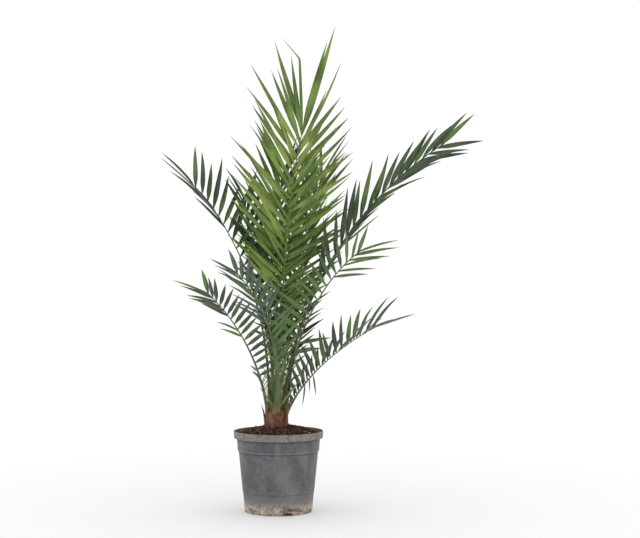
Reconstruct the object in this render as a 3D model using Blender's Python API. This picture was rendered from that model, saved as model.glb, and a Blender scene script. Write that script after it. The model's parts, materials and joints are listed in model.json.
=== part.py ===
# A young Canary Island date palm growing in a round nursery pot.
# Metres, +Z up. The origin is on the ground, under the centre of the pot.
# Azimuths are in degrees from +X towards +Y, and leans are measured from straight up.

import math

import bmesh
import bpy
import numpy as np
from mathutils import Matrix
from mathutils.bvhtree import BVHTree

# Touching solids keep this much air between them
GAP = 0.0003

# Pot
POT_HEIGHT = 0.216
RIM_RADIUS = 0.120
RIM_BAND = 0.019
RIM_WALL = 0.0030
RIM_ROUND = 0.0010
RIM_UNDERCUT = 0.0015
SHOULDER_RADIUS = 0.1115
SHOULDER_TAPER = 0.0025
SHOULDER_BOTTOM = 0.163
SHOULDER_STEP = 0.0025
BASE_RADIUS = 0.0905
BASE_ROUND = 0.006
RING_LINE_HEIGHT = 0.054
RING_LINE_STEP = 0.0006
POT_WALL = 0.0020
POT_FLOOR = 0.0028
POT_SIDES = 40
NOTCHES = 4
NOTCH_TURN = -73.0
NOTCH_WIDTH = 0.036
NOTCH_HEIGHT = 0.0075
HOLES = 6
HOLE_RING = 0.066
HOLE_RADIUS = 0.006

# Soil
SOIL_EDGE = 0.2035
SOIL_CROWN = 0.2265
SOIL_SEAT = 0.034
SOIL_RINGS = 4
SOIL_ROUGH = 0.0016

# Stem
STEM_X = -0.006
STEM_TOP = 0.315
STEM_FOOT_RADIUS = 0.0240
STEM_TOP_RADIUS = 0.0050
STEM_TAPER = 1.6
STEM_SIDES = 18
STEM_RINGS = 7

# Fronds
RACHIS_STEPS = 11
RACHIS_SIDES = 6
RACHIS_TIP = 0.0030
RACHIS_TAPER = 2.2
RACHIS_FLATNESS = 0.55
LEAF_WIDTH = 0.0058
LEAF_WIDENING = 0.046
LEAF_THICKNESS = 1 / 62
LEAF_MIDDLE = 0.36
LEAF_ROOT_SHARE = 0.34
LEAF_ROUGHNESS = 6.0
LEAF_SAG = 0.06
LEAF_CURL = 0.05
LEAF_TWIST = 20.0
LEAF_AIR = 0.0005
# Turns that a leaflet tries in degrees, where it would touch another frond
TURNS = ((0, 0), (7, 0), (-7, 0), (0, 12), (0, -12), (13, 10), (-13, -10), (20, 0), (-15, 20))

# Each frond leaves the stem at seat, an azimuth about the stem and a height.
# Its rachis leans by lean[0] at the foot and lean[1] at the tip, towards az, which swings on the way.
# Its leaflets leave the rachis at angle, raised above it by lift, and leaf gives their length at the
# first, the longest and the last pair. bare is a stretch of one row where the leaflets are missing.
FRONDS = {
    "frond_centre": dict(
        seat=None, girth=0.0100, az=45, swing=10, lean=(5.2, 23.7), bend=3.8, length=0.728,
        start=0.30, pairs=21, angle=(57, 20), ease=3.3, skew=17, lift=(7, 0),
        leaf=(0.158, 0.210, 0.310), peak=0.84, roll=64, twist=-4, sag=0.0, seed=4),
    "frond_centre_left": dict(
        seat=(188, 0.290), girth=0.0095, az=76, swing=6, lean=(9.0, 15.0), bend=1.5, length=0.640,
        start=0.34, pairs=17, angle=(56, 20), ease=1.4, skew=0, lift=(24, 8),
        leaf=(0.110, 0.185, 0.150), peak=0.50, roll=14, twist=0, seed=12),
    "frond_centre_right": dict(
        seat=(58, 0.292), girth=0.0105, az=55, swing=1, lean=(15.1, 28.5), bend=2.59, length=0.672,
        start=0.35, pairs=17, angle=(58, 24), ease=1.2, skew=0, lift=(30, 15),
        leaf=(0.110, 0.170, 0.120), peak=0.45, roll=0, twist=0, seed=5),
    "frond_right_long": dict(
        seat=(42, 0.258), girth=0.0130, az=23, swing=-22, lean=(6.6, 57.4), bend=1.03, length=0.892,
        start=0.32, pairs=20, angle=(38, 22), ease=0.60, skew=-9, lift=(62, 4),
        leaf=(0.060, 0.146, 0.115), peak=0.42, roll=34, twist=34, seed=6),
    "frond_right_middle": dict(
        seat=(-28, 0.264), girth=0.0120, az=-37, swing=-16, lean=(11.9, 67.3), bend=1.38, length=0.550,
        start=0.28, pairs=16, angle=(84, 21), ease=2.86, skew=7, lift=(31, 27),
        leaf=(0.120, 0.090, 0.115), peak=0.70, roll=-30, twist=-8, bare=((1, 0.12, 0.62),), seed=7),
    "frond_right_short": dict(
        seat=(-24, 0.234), girth=0.0110, az=-22, swing=18, lean=(0.0, 61.6), bend=0.41, length=0.376,
        start=0.12, pairs=17, angle=(66, 49), ease=3.4, skew=8, lift=(66, 15),
        leaf=(0.043, 0.096, 0.150), peak=0.65, roll=-10, twist=-6, seed=8),
    "frond_left_long": dict(
        seat=(138, 0.240), girth=0.0140, az=162, swing=8, lean=(0.0, 44.4), bend=1.33, length=0.701,
        start=0.42, pairs=16, angle=(60, 34), ease=2.3, skew=0, lift=(14, 33),
        leaf=(0.095, 0.148, 0.122), peak=0.36, roll=-18, twist=-12, bare=((1, 0.0, 0.55),), seed=1),
    "frond_left_short": dict(
        seat=(203, 0.234), girth=0.0120, az=209, swing=25, lean=(0.0, 58.4), bend=0.88, length=0.431,
        start=0.28, pairs=17, angle=(75, 22), ease=2.92, skew=-6, lift=(31, 9),
        leaf=(0.055, 0.078, 0.092), peak=0.68, roll=24, twist=-6,
        bare=((-1, 0.08, 0.37), (-1, 0.52, 0.66)), seed=3),
    "frond_front": dict(
        seat=(-90, 0.234), girth=0.0240, az=-75, swing=-61, lean=(14.6, 49.3), bend=0.68, length=0.507,
        start=0.22, pairs=18, angle=(72, 24), ease=1.5, skew=-2, lift=(45, 6),
        leaf=(0.110, 0.100, 0.088), peak=0.43, roll=21, twist=-8, bare=((-1, 0.0, 0.50),), seed=2),
    "frond_back_left": dict(
        seat=(102, 0.264), girth=0.0120, az=128, swing=0, lean=(4.5, 23.2), bend=0.91, length=0.608,
        start=0.30, pairs=16, angle=(60, 28), ease=1.2, skew=0, lift=(35, 20),
        leaf=(0.080, 0.130, 0.100), peak=0.45, roll=0, twist=0, seed=9),
    "frond_back": dict(
        seat=(80, 0.238), girth=0.0140, az=92, swing=8, lean=(6.0, 55.0), bend=1.3, length=0.640,
        start=0.30, pairs=17, angle=(66, 24), ease=1.5, skew=0, lift=(32, 14),
        leaf=(0.070, 0.120, 0.100), peak=0.45, roll=0, twist=0, seed=10),
    "frond_back_right": dict(
        seat=(9, 0.238), girth=0.0115, az=66, swing=14, lean=(5.0, 56.0), bend=0.9, length=0.430,
        start=0.24, pairs=15, angle=(70, 22), ease=1.8, skew=0, lift=(40, 16),
        leaf=(0.050, 0.090, 0.090), peak=0.55, roll=0, twist=0, seed=11),
}

# The leaflet that stands up from the tip of the centre frond and is bent over near its end
SPEAR_LENGTH = 0.285
SPEAR_KINK = 0.72
SPEAR_LEAN = (-2.0, 4.0)
SPEAR_BENT = (-40.0, 10.0)
SPEAR_WIDTH = 0.0065

# The dried stub of an old frond, on the left of the stem
STUB_SEAT = (172, 0.232)
STUB_LENGTH = 0.070
STUB_WIDTH = 0.0085
STUB_LEAN = 5.0


def clear_scene():
    for obj in list(bpy.data.objects):
        bpy.data.objects.remove(obj, do_unlink=True)


def material(name, colour, roughness, metallic=0.0):
    made = bpy.data.materials.new(name)
    made.use_nodes = True
    shader = made.node_tree.nodes["Principled BSDF"]
    shader.inputs["Base Color"].default_value = (*colour, 1.0)
    shader.inputs["Roughness"].default_value = roughness
    shader.inputs["Metallic"].default_value = metallic
    return made


def add_object(name, bm, surface, smooth_angle=None):
    """Closes a bmesh into a named object of the scene, with its faces pointing out."""
    bmesh.ops.recalc_face_normals(bm, faces=bm.faces)
    mesh = bpy.data.meshes.new(name)
    bm.to_mesh(mesh)
    bm.free()
    if smooth_angle is not None:
        mesh.shade_smooth()
        mesh.set_sharp_from_angle(angle=math.radians(smooth_angle))
    if surface is not None:
        mesh.materials.append(surface)
    obj = bpy.data.objects.new(name, mesh)
    bpy.context.scene.collection.objects.link(obj)
    return obj


def apply_modifiers(obj):
    graph = bpy.context.evaluated_depsgraph_get()
    mesh = bpy.data.meshes.new_from_object(obj.evaluated_get(graph))
    mesh.name = obj.name
    obj.modifiers.clear()
    obj.data = mesh


def boolean(obj, others, operation):
    """Cuts or joins a whole list of objects in one Boolean, then removes them."""
    group = bpy.data.collections.new(obj.name + "_pieces")
    bpy.context.scene.collection.children.link(group)
    for other in others:
        bpy.context.scene.collection.objects.unlink(other)
        group.objects.link(other)
    modifier = obj.modifiers.new("pieces", "BOOLEAN")
    modifier.operation = operation
    modifier.operand_type = "COLLECTION"
    modifier.collection = group
    apply_modifiers(obj)
    for other in others:
        bpy.data.objects.remove(other, do_unlink=True)
    bpy.data.collections.remove(group)


def turned(bm, profile, sides):
    """Spins a profile of (radius, height) points about Z. Points on the axis close it."""
    verts = [bm.verts.new((radius, 0.0, height)) for radius, height in profile]
    edges = [bm.edges.new(pair) for pair in zip(verts, verts[1:])]
    bmesh.ops.spin(bm, geom=verts + edges, axis=(0, 0, 1), cent=(0, 0, 0), steps=sides,
                   angle=2 * math.pi, use_merge=True)
    bmesh.ops.remove_doubles(bm, verts=bm.verts, dist=1e-6)
    bmesh.ops.dissolve_degenerate(bm, edges=bm.edges, dist=1e-6)


def pot_outside(height):
    """Outer radius of the pot's wall below its rim band."""
    if height >= SHOULDER_BOTTOM:
        rise = (height - SHOULDER_BOTTOM) / (POT_HEIGHT - RIM_BAND - SHOULDER_BOTTOM)
        return SHOULDER_RADIUS - SHOULDER_TAPER * (1 - rise)
    top = SHOULDER_RADIUS - SHOULDER_TAPER - SHOULDER_STEP
    rise = max(0.0, height - BASE_ROUND) / (SHOULDER_BOTTOM - BASE_ROUND)
    return BASE_RADIUS + (top - BASE_RADIUS) * rise


def pot_profile():
    """The pot's outline from the middle of its underside, up the outside and down the inside."""
    band = POT_HEIGHT - RIM_BAND
    below_line = RING_LINE_HEIGHT - RING_LINE_STEP
    outside = [(0.0, 0.0), (BASE_RADIUS - BASE_ROUND, 0.0)]
    outside += [(BASE_RADIUS - BASE_ROUND * (1 - math.sin(a)), BASE_ROUND * (1 - math.cos(a)))
                for a in (math.pi / 6, math.pi / 3, math.pi / 2)]
    outside += [
        (pot_outside(below_line), below_line),
        (pot_outside(RING_LINE_HEIGHT) + RING_LINE_STEP, RING_LINE_HEIGHT),
        (pot_outside(SHOULDER_BOTTOM - 1e-6), SHOULDER_BOTTOM - SHOULDER_STEP),
        (pot_outside(SHOULDER_BOTTOM), SHOULDER_BOTTOM),
        (SHOULDER_RADIUS, band),
        (RIM_RADIUS, band + RIM_UNDERCUT),
        (RIM_RADIUS, POT_HEIGHT - RIM_ROUND),
        (RIM_RADIUS - RIM_ROUND, POT_HEIGHT),
    ]
    rim_inside = RIM_RADIUS - RIM_WALL
    inside = [
        (rim_inside, POT_HEIGHT),
        (rim_inside, band + RIM_UNDERCUT + POT_WALL),
        (SHOULDER_RADIUS - POT_WALL, band + POT_WALL),
        (pot_outside(SHOULDER_BOTTOM) - POT_WALL, SHOULDER_BOTTOM + POT_WALL),
        (pot_outside(SHOULDER_BOTTOM - 1e-6) - POT_WALL, SHOULDER_BOTTOM - 3 * POT_WALL),
        (BASE_RADIUS - POT_WALL, BASE_ROUND + POT_FLOOR),
        (BASE_RADIUS - BASE_ROUND, POT_FLOOR),
        (0.0, POT_FLOOR),
    ]
    return outside, inside


def make_pot():
    bm = bmesh.new()
    outside, inside = pot_profile()
    turned(bm, outside + inside, POT_SIDES)
    pot = add_object("pot", bm, material("pot_plastic", (0.135, 0.135, 0.138), 0.55), 30)
    cutters = []
    for k in range(NOTCHES):
        turn = math.radians(NOTCH_TURN + k * 360 / NOTCHES)
        cutters.append(arch_cutter(turn))
    for k in range(HOLES):
        turn = math.radians(NOTCH_TURN / 2 + k * 360 / HOLES)
        bm = bmesh.new()
        bmesh.ops.create_cone(bm, cap_ends=True, segments=12, radius1=HOLE_RADIUS, radius2=HOLE_RADIUS,
                              depth=4 * POT_FLOOR)
        bmesh.ops.translate(bm, verts=bm.verts,
                            vec=(HOLE_RING * math.cos(turn), HOLE_RING * math.sin(turn), 0.0))
        cutters.append(add_object("hole_cutter", bm, None))
    boolean(pot, cutters, "DIFFERENCE")
    pot.data.shade_smooth()
    pot.data.set_sharp_from_angle(angle=math.radians(30))


def arch_cutter(turn):
    """A low arch through the foot of the wall, where water drains out at the side."""
    bm = bmesh.new()
    half = NOTCH_WIDTH / 2
    turns = [math.pi * k / 8 for k in range(9)]
    outline = [(half * math.cos(a), (NOTCH_HEIGHT + 0.001) * math.sin(a) - 0.001) for a in turns]
    outline = [(half, -0.01), *outline, (-half, -0.01)]
    near, far = BASE_RADIUS - BASE_ROUND - 0.007, BASE_RADIUS + 0.02
    rings = [[bm.verts.new((radius, across, height)) for across, height in outline]
             for radius in (near, far)]
    bm.faces.new(rings[0])
    bm.faces.new(rings[1])
    count = len(outline)
    for k in range(count):
        after = (k + 1) % count
        bm.faces.new((rings[0][k], rings[0][after], rings[1][after], rings[1][k]))
    bmesh.ops.rotate(bm, verts=bm.verts, cent=(0, 0, 0),
                     matrix=Matrix.Rotation(turn, 3, "Z"))
    return add_object("notch_cutter", bm, None)


def chance(key, salt):
    """A repeatable number from 0 to 1 for each key."""
    wave = np.sin(np.asarray(key, float) * 12.9898 + salt * 78.233) * 43758.5453
    return wave - np.floor(wave)


def make_soil():
    """Fills the pot, and rises from its rim to a low mound with a flat seat for the stem."""
    inside = [(max(0.0, radius - 1.3 * GAP), height + GAP) for radius, height in pot_profile()[1]]
    wall = [point for point in reversed(inside) if point[1] < SOIL_EDGE - 0.001]
    edge = RIM_RADIUS - RIM_WALL - 1.3 * GAP
    wall.append((edge, SOIL_EDGE))
    top = []
    for k in range(1, SOIL_RINGS + 1):
        way = k / SOIL_RINGS
        radius = edge + (SOIL_SEAT - edge) * way
        top.append((radius, SOIL_EDGE + (SOIL_CROWN - SOIL_EDGE) * math.sin(way * math.pi / 2) ** 1.2))
    bm = bmesh.new()
    turned(bm, wall + top + [(0.0, SOIL_CROWN)], POT_SIDES)
    for vert in bm.verts:
        radius = math.hypot(vert.co.x, vert.co.y)
        if vert.co.z > SOIL_EDGE + 0.001 and radius > SOIL_SEAT + 0.001:
            key = round(radius * 1000) * 7 + round(math.atan2(vert.co.y, vert.co.x) * 100)
            vert.co.z += SOIL_ROUGH * (2 * float(chance(key, 3)) - 1)
    add_object("soil", bm, material("potting_soil", (0.055, 0.033, 0.026), 0.95), 40)


def stem_radius(height):
    foot = SOIL_CROWN + GAP
    rise = min(1.0, max(0.0, (height - foot) / (STEM_TOP - foot)))
    return STEM_TOP_RADIUS + (STEM_FOOT_RADIUS - STEM_TOP_RADIUS) * (1 - rise) ** STEM_TAPER


def make_stem():
    """The short swollen stem, from its flat cut on the soil to the foot of the centre frond."""
    foot = SOIL_CROWN + GAP
    heights = [foot + (STEM_TOP - foot) * k / STEM_RINGS for k in range(STEM_RINGS + 1)]
    profile = [(0.0, foot)] + [(stem_radius(z), z) for z in heights] + [(0.0, STEM_TOP)]
    bm = bmesh.new()
    turned(bm, profile, STEM_SIDES)
    bmesh.ops.translate(bm, verts=bm.verts, vec=(STEM_X, 0, 0))
    add_object("stem", bm, material("stem_fibre", (0.115, 0.062, 0.045), 0.9), 50)


def unit(vectors):
    return vectors / np.linalg.norm(vectors, axis=-1, keepdims=True)


def seat_point(seat, turn, width):
    """The centre of a foot of this width that touches the stem, turned from the seat by an angle."""
    angle, height = math.radians(seat[0]), seat[1]
    half = width / 2
    reach = math.hypot(half * math.sin(turn), half * RACHIS_FLATNESS * math.cos(turn))
    radius = stem_radius(height) + reach + GAP
    return np.array((STEM_X + radius * math.cos(angle), radius * math.sin(angle), height))


def frond_foot(frond):
    if frond["seat"] is None:
        tilt = frond["girth"] / 2 * math.sin(math.radians(frond["lean"][0]))
        return np.array((STEM_X, 0.0, STEM_TOP + GAP + tilt))
    turn = math.radians(frond["az"] - frond["seat"][0])
    return seat_point(frond["seat"], turn, frond["girth"])


def rachis_line(frond, steps):
    """Points up the rachis: each step follows the lean and azimuth that it has reached."""
    way = (np.arange(steps) + 0.5) / steps
    lean = np.radians(frond["lean"][0] + (frond["lean"][1] - frond["lean"][0]) * way ** frond["bend"])
    azimuth = np.radians(frond["az"] + frond["swing"] * way)
    step = np.stack([np.sin(lean) * np.cos(azimuth), np.sin(lean) * np.sin(azimuth), np.cos(lean)], -1)
    line = np.vstack([np.zeros((1, 3)), np.cumsum(step, axis=0) * frond["length"] / steps])
    return frond_foot(frond) + line


def rachis_frame(frond, u):
    """Place, direction, sideways and upper-face vectors at fractions u of the rachis."""
    line = rachis_line(frond, 60)
    along = np.linspace(0, 1, len(line))
    tangents = unit(np.gradient(line, axis=0))
    place = np.stack([np.interp(u, along, line[:, axis]) for axis in range(3)], -1)
    ahead = unit(np.stack([np.interp(u, along, tangents[:, axis]) for axis in range(3)], -1))
    azimuth = np.radians(frond["az"] + frond["swing"] * u)
    side = np.stack([-np.sin(azimuth), np.cos(azimuth), 0 * azimuth], -1)
    side = unit(side - (side * ahead).sum(-1, keepdims=True) * ahead)
    face = np.cross(ahead, side)
    grown = np.minimum(1.0, u / frond["start"])
    roll = (np.radians(frond["roll"] + frond["twist"] * u) * grown)[..., None]
    rolled = side * np.cos(roll) + face * np.sin(roll)
    return place, ahead, rolled, face * np.cos(roll) - side * np.sin(roll)


def rachis_width(frond, u):
    return RACHIS_TIP + (frond["girth"] - RACHIS_TIP) * (1 - u) ** RACHIS_TAPER


def tube(rings, closed_ends=True):
    """Points and faces of a tube through equal rings of points."""
    count = rings.shape[1]
    faces = []
    for k in range(len(rings) - 1):
        for j in range(count):
            after = (j + 1) % count
            faces.append((k * count + j, k * count + after, (k + 1) * count + after, (k + 1) * count + j))
    if closed_ends:
        faces.append(tuple(range(count))[::-1])
        faces.append(tuple(range((len(rings) - 1) * count, len(rings) * count)))
    return rings.reshape(-1, 3), faces


def rachis_shape(frond):
    """A flattened six-sided tube that tapers from the foot of the frond to its tip."""
    u = np.linspace(0, 1, RACHIS_STEPS + 1)
    place, _, side, face = rachis_frame(frond, u)
    half = (rachis_width(frond, u) / 2)[:, None, None]
    angle = np.arange(RACHIS_SIDES) * 2 * math.pi / RACHIS_SIDES
    round_side = side[:, None] * np.cos(angle)[:, None]
    round_face = face[:, None] * np.sin(angle)[:, None] * RACHIS_FLATNESS
    return tube(place[:, None] + half * (round_side + round_face))


def leaflet_seeds(frond):
    """The leaflets of both rows, each as the values that its shape is worked out from."""
    seeds = []
    for side in (-1, 1):
        pair = np.arange(frond["pairs"])
        way = (pair + 0.5 + 0.22 * side) / frond["pairs"]
        key = pair + (50 if side > 0 else 0) + frond["seed"] * 100
        sway, raise_, grow, turn = (2 * chance(key, salt) - 1 for salt in (1, 2, 3, 4))
        angle = frond["angle"][0] + (frond["angle"][1] - frond["angle"][0]) * way ** frond["ease"]
        angle = angle + side * frond["skew"] * way ** 3 + sway * LEAF_ROUGHNESS
        lift = frond["lift"][0] + (frond["lift"][1] - frond["lift"][0]) * way
        lift = lift + 1.6 * raise_ * LEAF_ROUGHNESS
        first, longest, last = frond["leaf"]
        peak = frond["peak"]
        growing = first + (longest - first) * np.sin(np.minimum(way / peak, 1) * math.pi / 2)
        fading = np.cos(np.clip((way - peak) / (1 - peak), 0, 1) * math.pi / 2)
        length = np.where(way < peak, growing, last + (longest - last) * fading) * (1 + 0.12 * grow)
        for k in range(frond["pairs"]):
            if not missing(frond, side, way[k]):
                seeds.append(dict(side=side, way=way[k], angle=angle[k], lift=lift[k],
                                  length=length[k], turn=turn[k] * LEAF_TWIST))
    return sorted(seeds, key=lambda seed: seed["way"])


def leaning(lean_x, lean_y):
    """The direction that leans from straight up by these angles, towards +X and towards +Y."""
    return unit(np.array((math.tan(math.radians(lean_x)), math.tan(math.radians(lean_y)), 1.0)))


def spear_shape():
    """The bent leaflet at the top: a stiff lower part, then a short end that has folded over."""
    frond = FRONDS["frond_centre"]
    root = rachis_frame(frond, np.array([0.985]))[0][0]
    kink = root + leaning(*SPEAR_LEAN) * SPEAR_LENGTH * SPEAR_KINK
    tip = kink + leaning(*SPEAR_BENT) * SPEAR_LENGTH * (1 - SPEAR_KINK)
    return keeled_blade(root, kink, tip, np.array((1.0, 0, 0)), np.array((0, 1.0, 0)),
                        SPEAR_WIDTH / 2, SPEAR_LENGTH * LEAF_THICKNESS)


def missing(frond, side, way):
    return any(side == row and low < way < high for row, low, high in frond.get("bare", ()))


def leaflet_shape(frond, seed, turns=(0, 0), air=0.0):
    """One leaflet, with its root in the middle of the rachis. air makes it larger all round."""
    start = frond["start"]
    u = np.array([start + (0.995 - start) * seed["way"]])
    place, ahead, side, face = (value[0] for value in rachis_frame(frond, u))
    angle = math.radians(seed["angle"] + turns[0])
    lift = math.radians(seed["lift"] + turns[1])
    out = seed["side"] * side * math.cos(lift) + face * math.sin(lift)
    along = ahead * math.cos(angle) + out * math.sin(angle)
    across = unit(ahead - (ahead @ along) * along)
    normal = np.cross(along, across)
    turn = math.radians(seed["turn"])
    across, normal = (across * math.cos(turn) + normal * math.sin(turn),
                      normal * math.cos(turn) - across * math.sin(turn))
    length = seed["length"]
    droop = np.array((0, 0, -1)) * frond.get("sag", LEAF_SAG) * length + ahead * LEAF_CURL * length
    middle = place + along * length * LEAF_MIDDLE
    tip = place + along * (length + air) + droop
    width = LEAF_WIDTH + LEAF_WIDENING * length
    return keeled_blade(place, middle, tip, across, normal, width / 2 + air, length * LEAF_THICKNESS + air)


def keeled_blade(root, middle, tip, across, normal, half, keel):
    """A blade with a keel under it: a small three-sided root, the widest section and a point."""
    section = np.array([across * half + normal * keel / 3, -across * half + normal * keel / 3,
                        -normal * keel * 2 / 3])
    points = np.vstack([root + section * LEAF_ROOT_SHARE, middle + section, tip])
    faces = [(0, 2, 1)]
    for k in range(3):
        after = (k + 1) % 3
        faces.append((k, after, 3 + after, 3 + k))
        faces.append((3 + k, 3 + after, 6))
    return points, faces


def tree_of(shapes):
    points, faces = [], []
    for shape_points, shape_faces in shapes:
        faces += [tuple(len(points) + index for index in face) for face in shape_faces]
        points += [tuple(point) for point in shape_points]
    return BVHTree.FromPolygons(points, faces)


def grow_fronds():
    """Each frond's rachis and leaflets. A leaflet that touches another frond turns aside, or is left out."""
    ribs = {name: rachis_shape(frond) for name, frond in FRONDS.items()}
    trees = {name: tree_of([rib]) for name, rib in ribs.items()}
    grown = {}
    for name, frond in FRONDS.items():
        others = [tree for other, tree in trees.items() if other != name]
        leaflets = []
        for seed in leaflet_seeds(frond):
            for turns in TURNS:
                wide = tree_of([leaflet_shape(frond, seed, turns, LEAF_AIR)])
                if not any(wide.overlap(other) for other in others):
                    leaflets.append(leaflet_shape(frond, seed, turns))
                    break
        if frond["seat"] is None:
            leaflets.append(spear_shape())
        trees[name] = tree_of([ribs[name], *leaflets])
        grown[name] = (ribs[name], leaflets)
    return grown


def solid(name, shape, surface=None):
    points, faces = shape
    bm = bmesh.new()
    verts = [bm.verts.new(point) for point in points]
    for face in faces:
        bm.faces.new([verts[index] for index in face])
    return add_object(name, bm, surface, 35)


def make_fronds():
    young = material("young_leaf", (0.115, 0.175, 0.060), 0.5)
    old = material("old_leaf", (0.075, 0.098, 0.055), 0.55)
    for name, (rib, leaflets) in grow_fronds().items():
        frond = solid(name, rib, young if name.startswith("frond_centre") else old)
        boolean(frond, [solid("leaflet", leaflet) for leaflet in leaflets], "UNION")


def make_stub():
    """The dried foot of an old frond: a short flat strap that comes to a point."""
    angle = math.radians(STUB_SEAT[0])
    outward = np.array((math.cos(angle), math.sin(angle), 0.0))
    sideways = np.array((-math.sin(angle), math.cos(angle), 0.0))
    lean = math.radians(STUB_LEAN)
    rise = outward * math.sin(lean) + np.array((0, 0, 1)) * math.cos(lean)
    inward = np.cross(rise, sideways)
    foot = seat_point(STUB_SEAT, 0.0, STUB_WIDTH)
    turns = np.arange(RACHIS_SIDES) * 2 * math.pi / RACHIS_SIDES
    rings = []
    for way, share in ((0.0, 1.0), (0.35, 0.82), (0.7, 0.5), (1.0, 0.12)):
        half = STUB_WIDTH / 2 * share
        ring = [foot + rise * STUB_LENGTH * way + sideways * half * math.cos(turn)
                + inward * half * RACHIS_FLATNESS * math.sin(turn) for turn in turns]
        rings.append(ring)
    solid("dry_frond_stub", tube(np.array(rings)), material("dry_frond", (0.16, 0.12, 0.09), 0.85))


def main():
    clear_scene()
    make_pot()
    make_soil()
    make_stem()
    make_stub()
    make_fronds()


main()
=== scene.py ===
# A young Canary Island date palm in a round nursery pot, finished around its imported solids.
# Metres, +Z up, the origin on the ground under the middle of the pot. Azimuths turn from
# +X towards +Y, and leans are measured from straight up.

import json
import math

import bpy
import numpy as np
from mathutils.bvhtree import BVHTree
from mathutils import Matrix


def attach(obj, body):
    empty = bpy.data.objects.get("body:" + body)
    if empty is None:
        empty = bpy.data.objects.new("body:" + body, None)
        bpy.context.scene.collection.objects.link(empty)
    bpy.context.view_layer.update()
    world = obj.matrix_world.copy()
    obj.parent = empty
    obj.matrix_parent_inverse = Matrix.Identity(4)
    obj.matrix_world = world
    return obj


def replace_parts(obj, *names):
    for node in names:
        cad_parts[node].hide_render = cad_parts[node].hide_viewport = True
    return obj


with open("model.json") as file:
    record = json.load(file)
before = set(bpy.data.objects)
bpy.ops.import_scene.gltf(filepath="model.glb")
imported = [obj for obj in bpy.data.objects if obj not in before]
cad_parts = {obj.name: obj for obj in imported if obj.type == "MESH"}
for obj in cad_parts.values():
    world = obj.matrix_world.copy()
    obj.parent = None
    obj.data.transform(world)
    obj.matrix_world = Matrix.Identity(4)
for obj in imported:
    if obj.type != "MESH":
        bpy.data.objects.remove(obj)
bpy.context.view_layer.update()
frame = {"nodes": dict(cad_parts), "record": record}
scene = bpy.context.scene
print("frame:", len(frame["nodes"]), "solids")


# Camera, light and floor

view = dict(place=(0.1112, -4.0, 0.6486), width=1.7152, sensor=36.0)

studio = dict(
    dome=1.02,              # brightness of the white room
    keyPlace=(-1.9, -2.9, 3.4), keySize=2.2, keyPower=110.0,
    fillPlace=(2.8, -2.2, 1.7), fillSize=2.4, fillPower=26.0,
    lampAim=(0.05, 0.0, 0.6),
    floorRadius=26.0, floorTone=0.97, floorGrain=0.04, floorFades=(0.45, 2.2), floorSides=96)


def linear(red, green, blue):
    # screen values from 0 to 255, as the light that they stand for
    share = np.array((red, green, blue)) / 255
    light = np.where(share <= 0.04045, share / 12.92, ((share + 0.055) / 1.055) ** 2.4)
    return (*light.tolist(), 1.0)


def addObject(name, data):
    made = bpy.data.objects.new(name, data)
    scene.collection.objects.link(made)
    return made


def makeCamera():
    lens = bpy.data.cameras.new("camera")
    lens.sensor_width = view["sensor"]
    lens.lens = view["sensor"] * abs(view["place"][1]) / view["width"]
    camera = addObject("camera", lens)
    camera.location = view["place"]
    camera.rotation_euler = (math.pi / 2, 0, 0)
    scene.camera = camera


def softLight(name, place, size, power):
    # a round lamp that points as far down as the aim is, but away from it: it brightens the floor,
    # and the white room alone lights the plant
    lamp = bpy.data.lights.new(name, "AREA")
    lamp.shape = "DISK"
    lamp.size = size
    lamp.energy = power
    made = addObject(name, lamp)
    made.location = place
    aim = np.array(studio["lampAim"]) - np.array(place)
    tilt, turn = math.acos(-aim[2] / np.linalg.norm(aim)), math.atan2(aim[1], aim[0])
    made.rotation_euler = (tilt, 0, turn + math.pi / 2)


def makeLight():
    room = bpy.data.worlds.new("room")
    room.use_nodes = True
    shade = room.node_tree.nodes["Background"].inputs
    shade["Color"].default_value = (1, 1, 1, 1)
    shade["Strength"].default_value = studio["dome"]
    scene.world = room
    for name in ("key", "fill"):
        softLight(name + "_light", *(studio[name + part] for part in ("Place", "Size", "Power")))
    scene.view_settings.view_transform = "Standard"


# Materials

class Wire:
    # a socket that takes part in sums: each sum adds a Math node
    def __init__(self, finish, socket):
        self.finish = finish
        self.socket = socket

    def sum(self, operation, *values):
        return self.finish.node("ShaderNodeMath", dict(operation=operation), dict(enumerate(values)))

    def __add__(self, other):
        return self.sum("ADD", self, other)

    def __sub__(self, other):
        return self.sum("SUBTRACT", self, other)

    def __rsub__(self, other):
        return self.sum("SUBTRACT", other, self)

    def __mul__(self, other):
        return self.sum("MULTIPLY", self, other)

    __radd__ = __add__
    __rmul__ = __mul__

    def sine(self):
        return self.sum("SINE", self)

    def size(self):
        return self.sum("ABSOLUTE", self)

    def rise(self, low, high):
        # 0 below low and 1 above high, with a smooth step between them
        places = {"Value": self, "From Min": low, "From Max": high}
        return self.finish.node("ShaderNodeMapRange", dict(interpolation_type="SMOOTHSTEP"), places)


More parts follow.
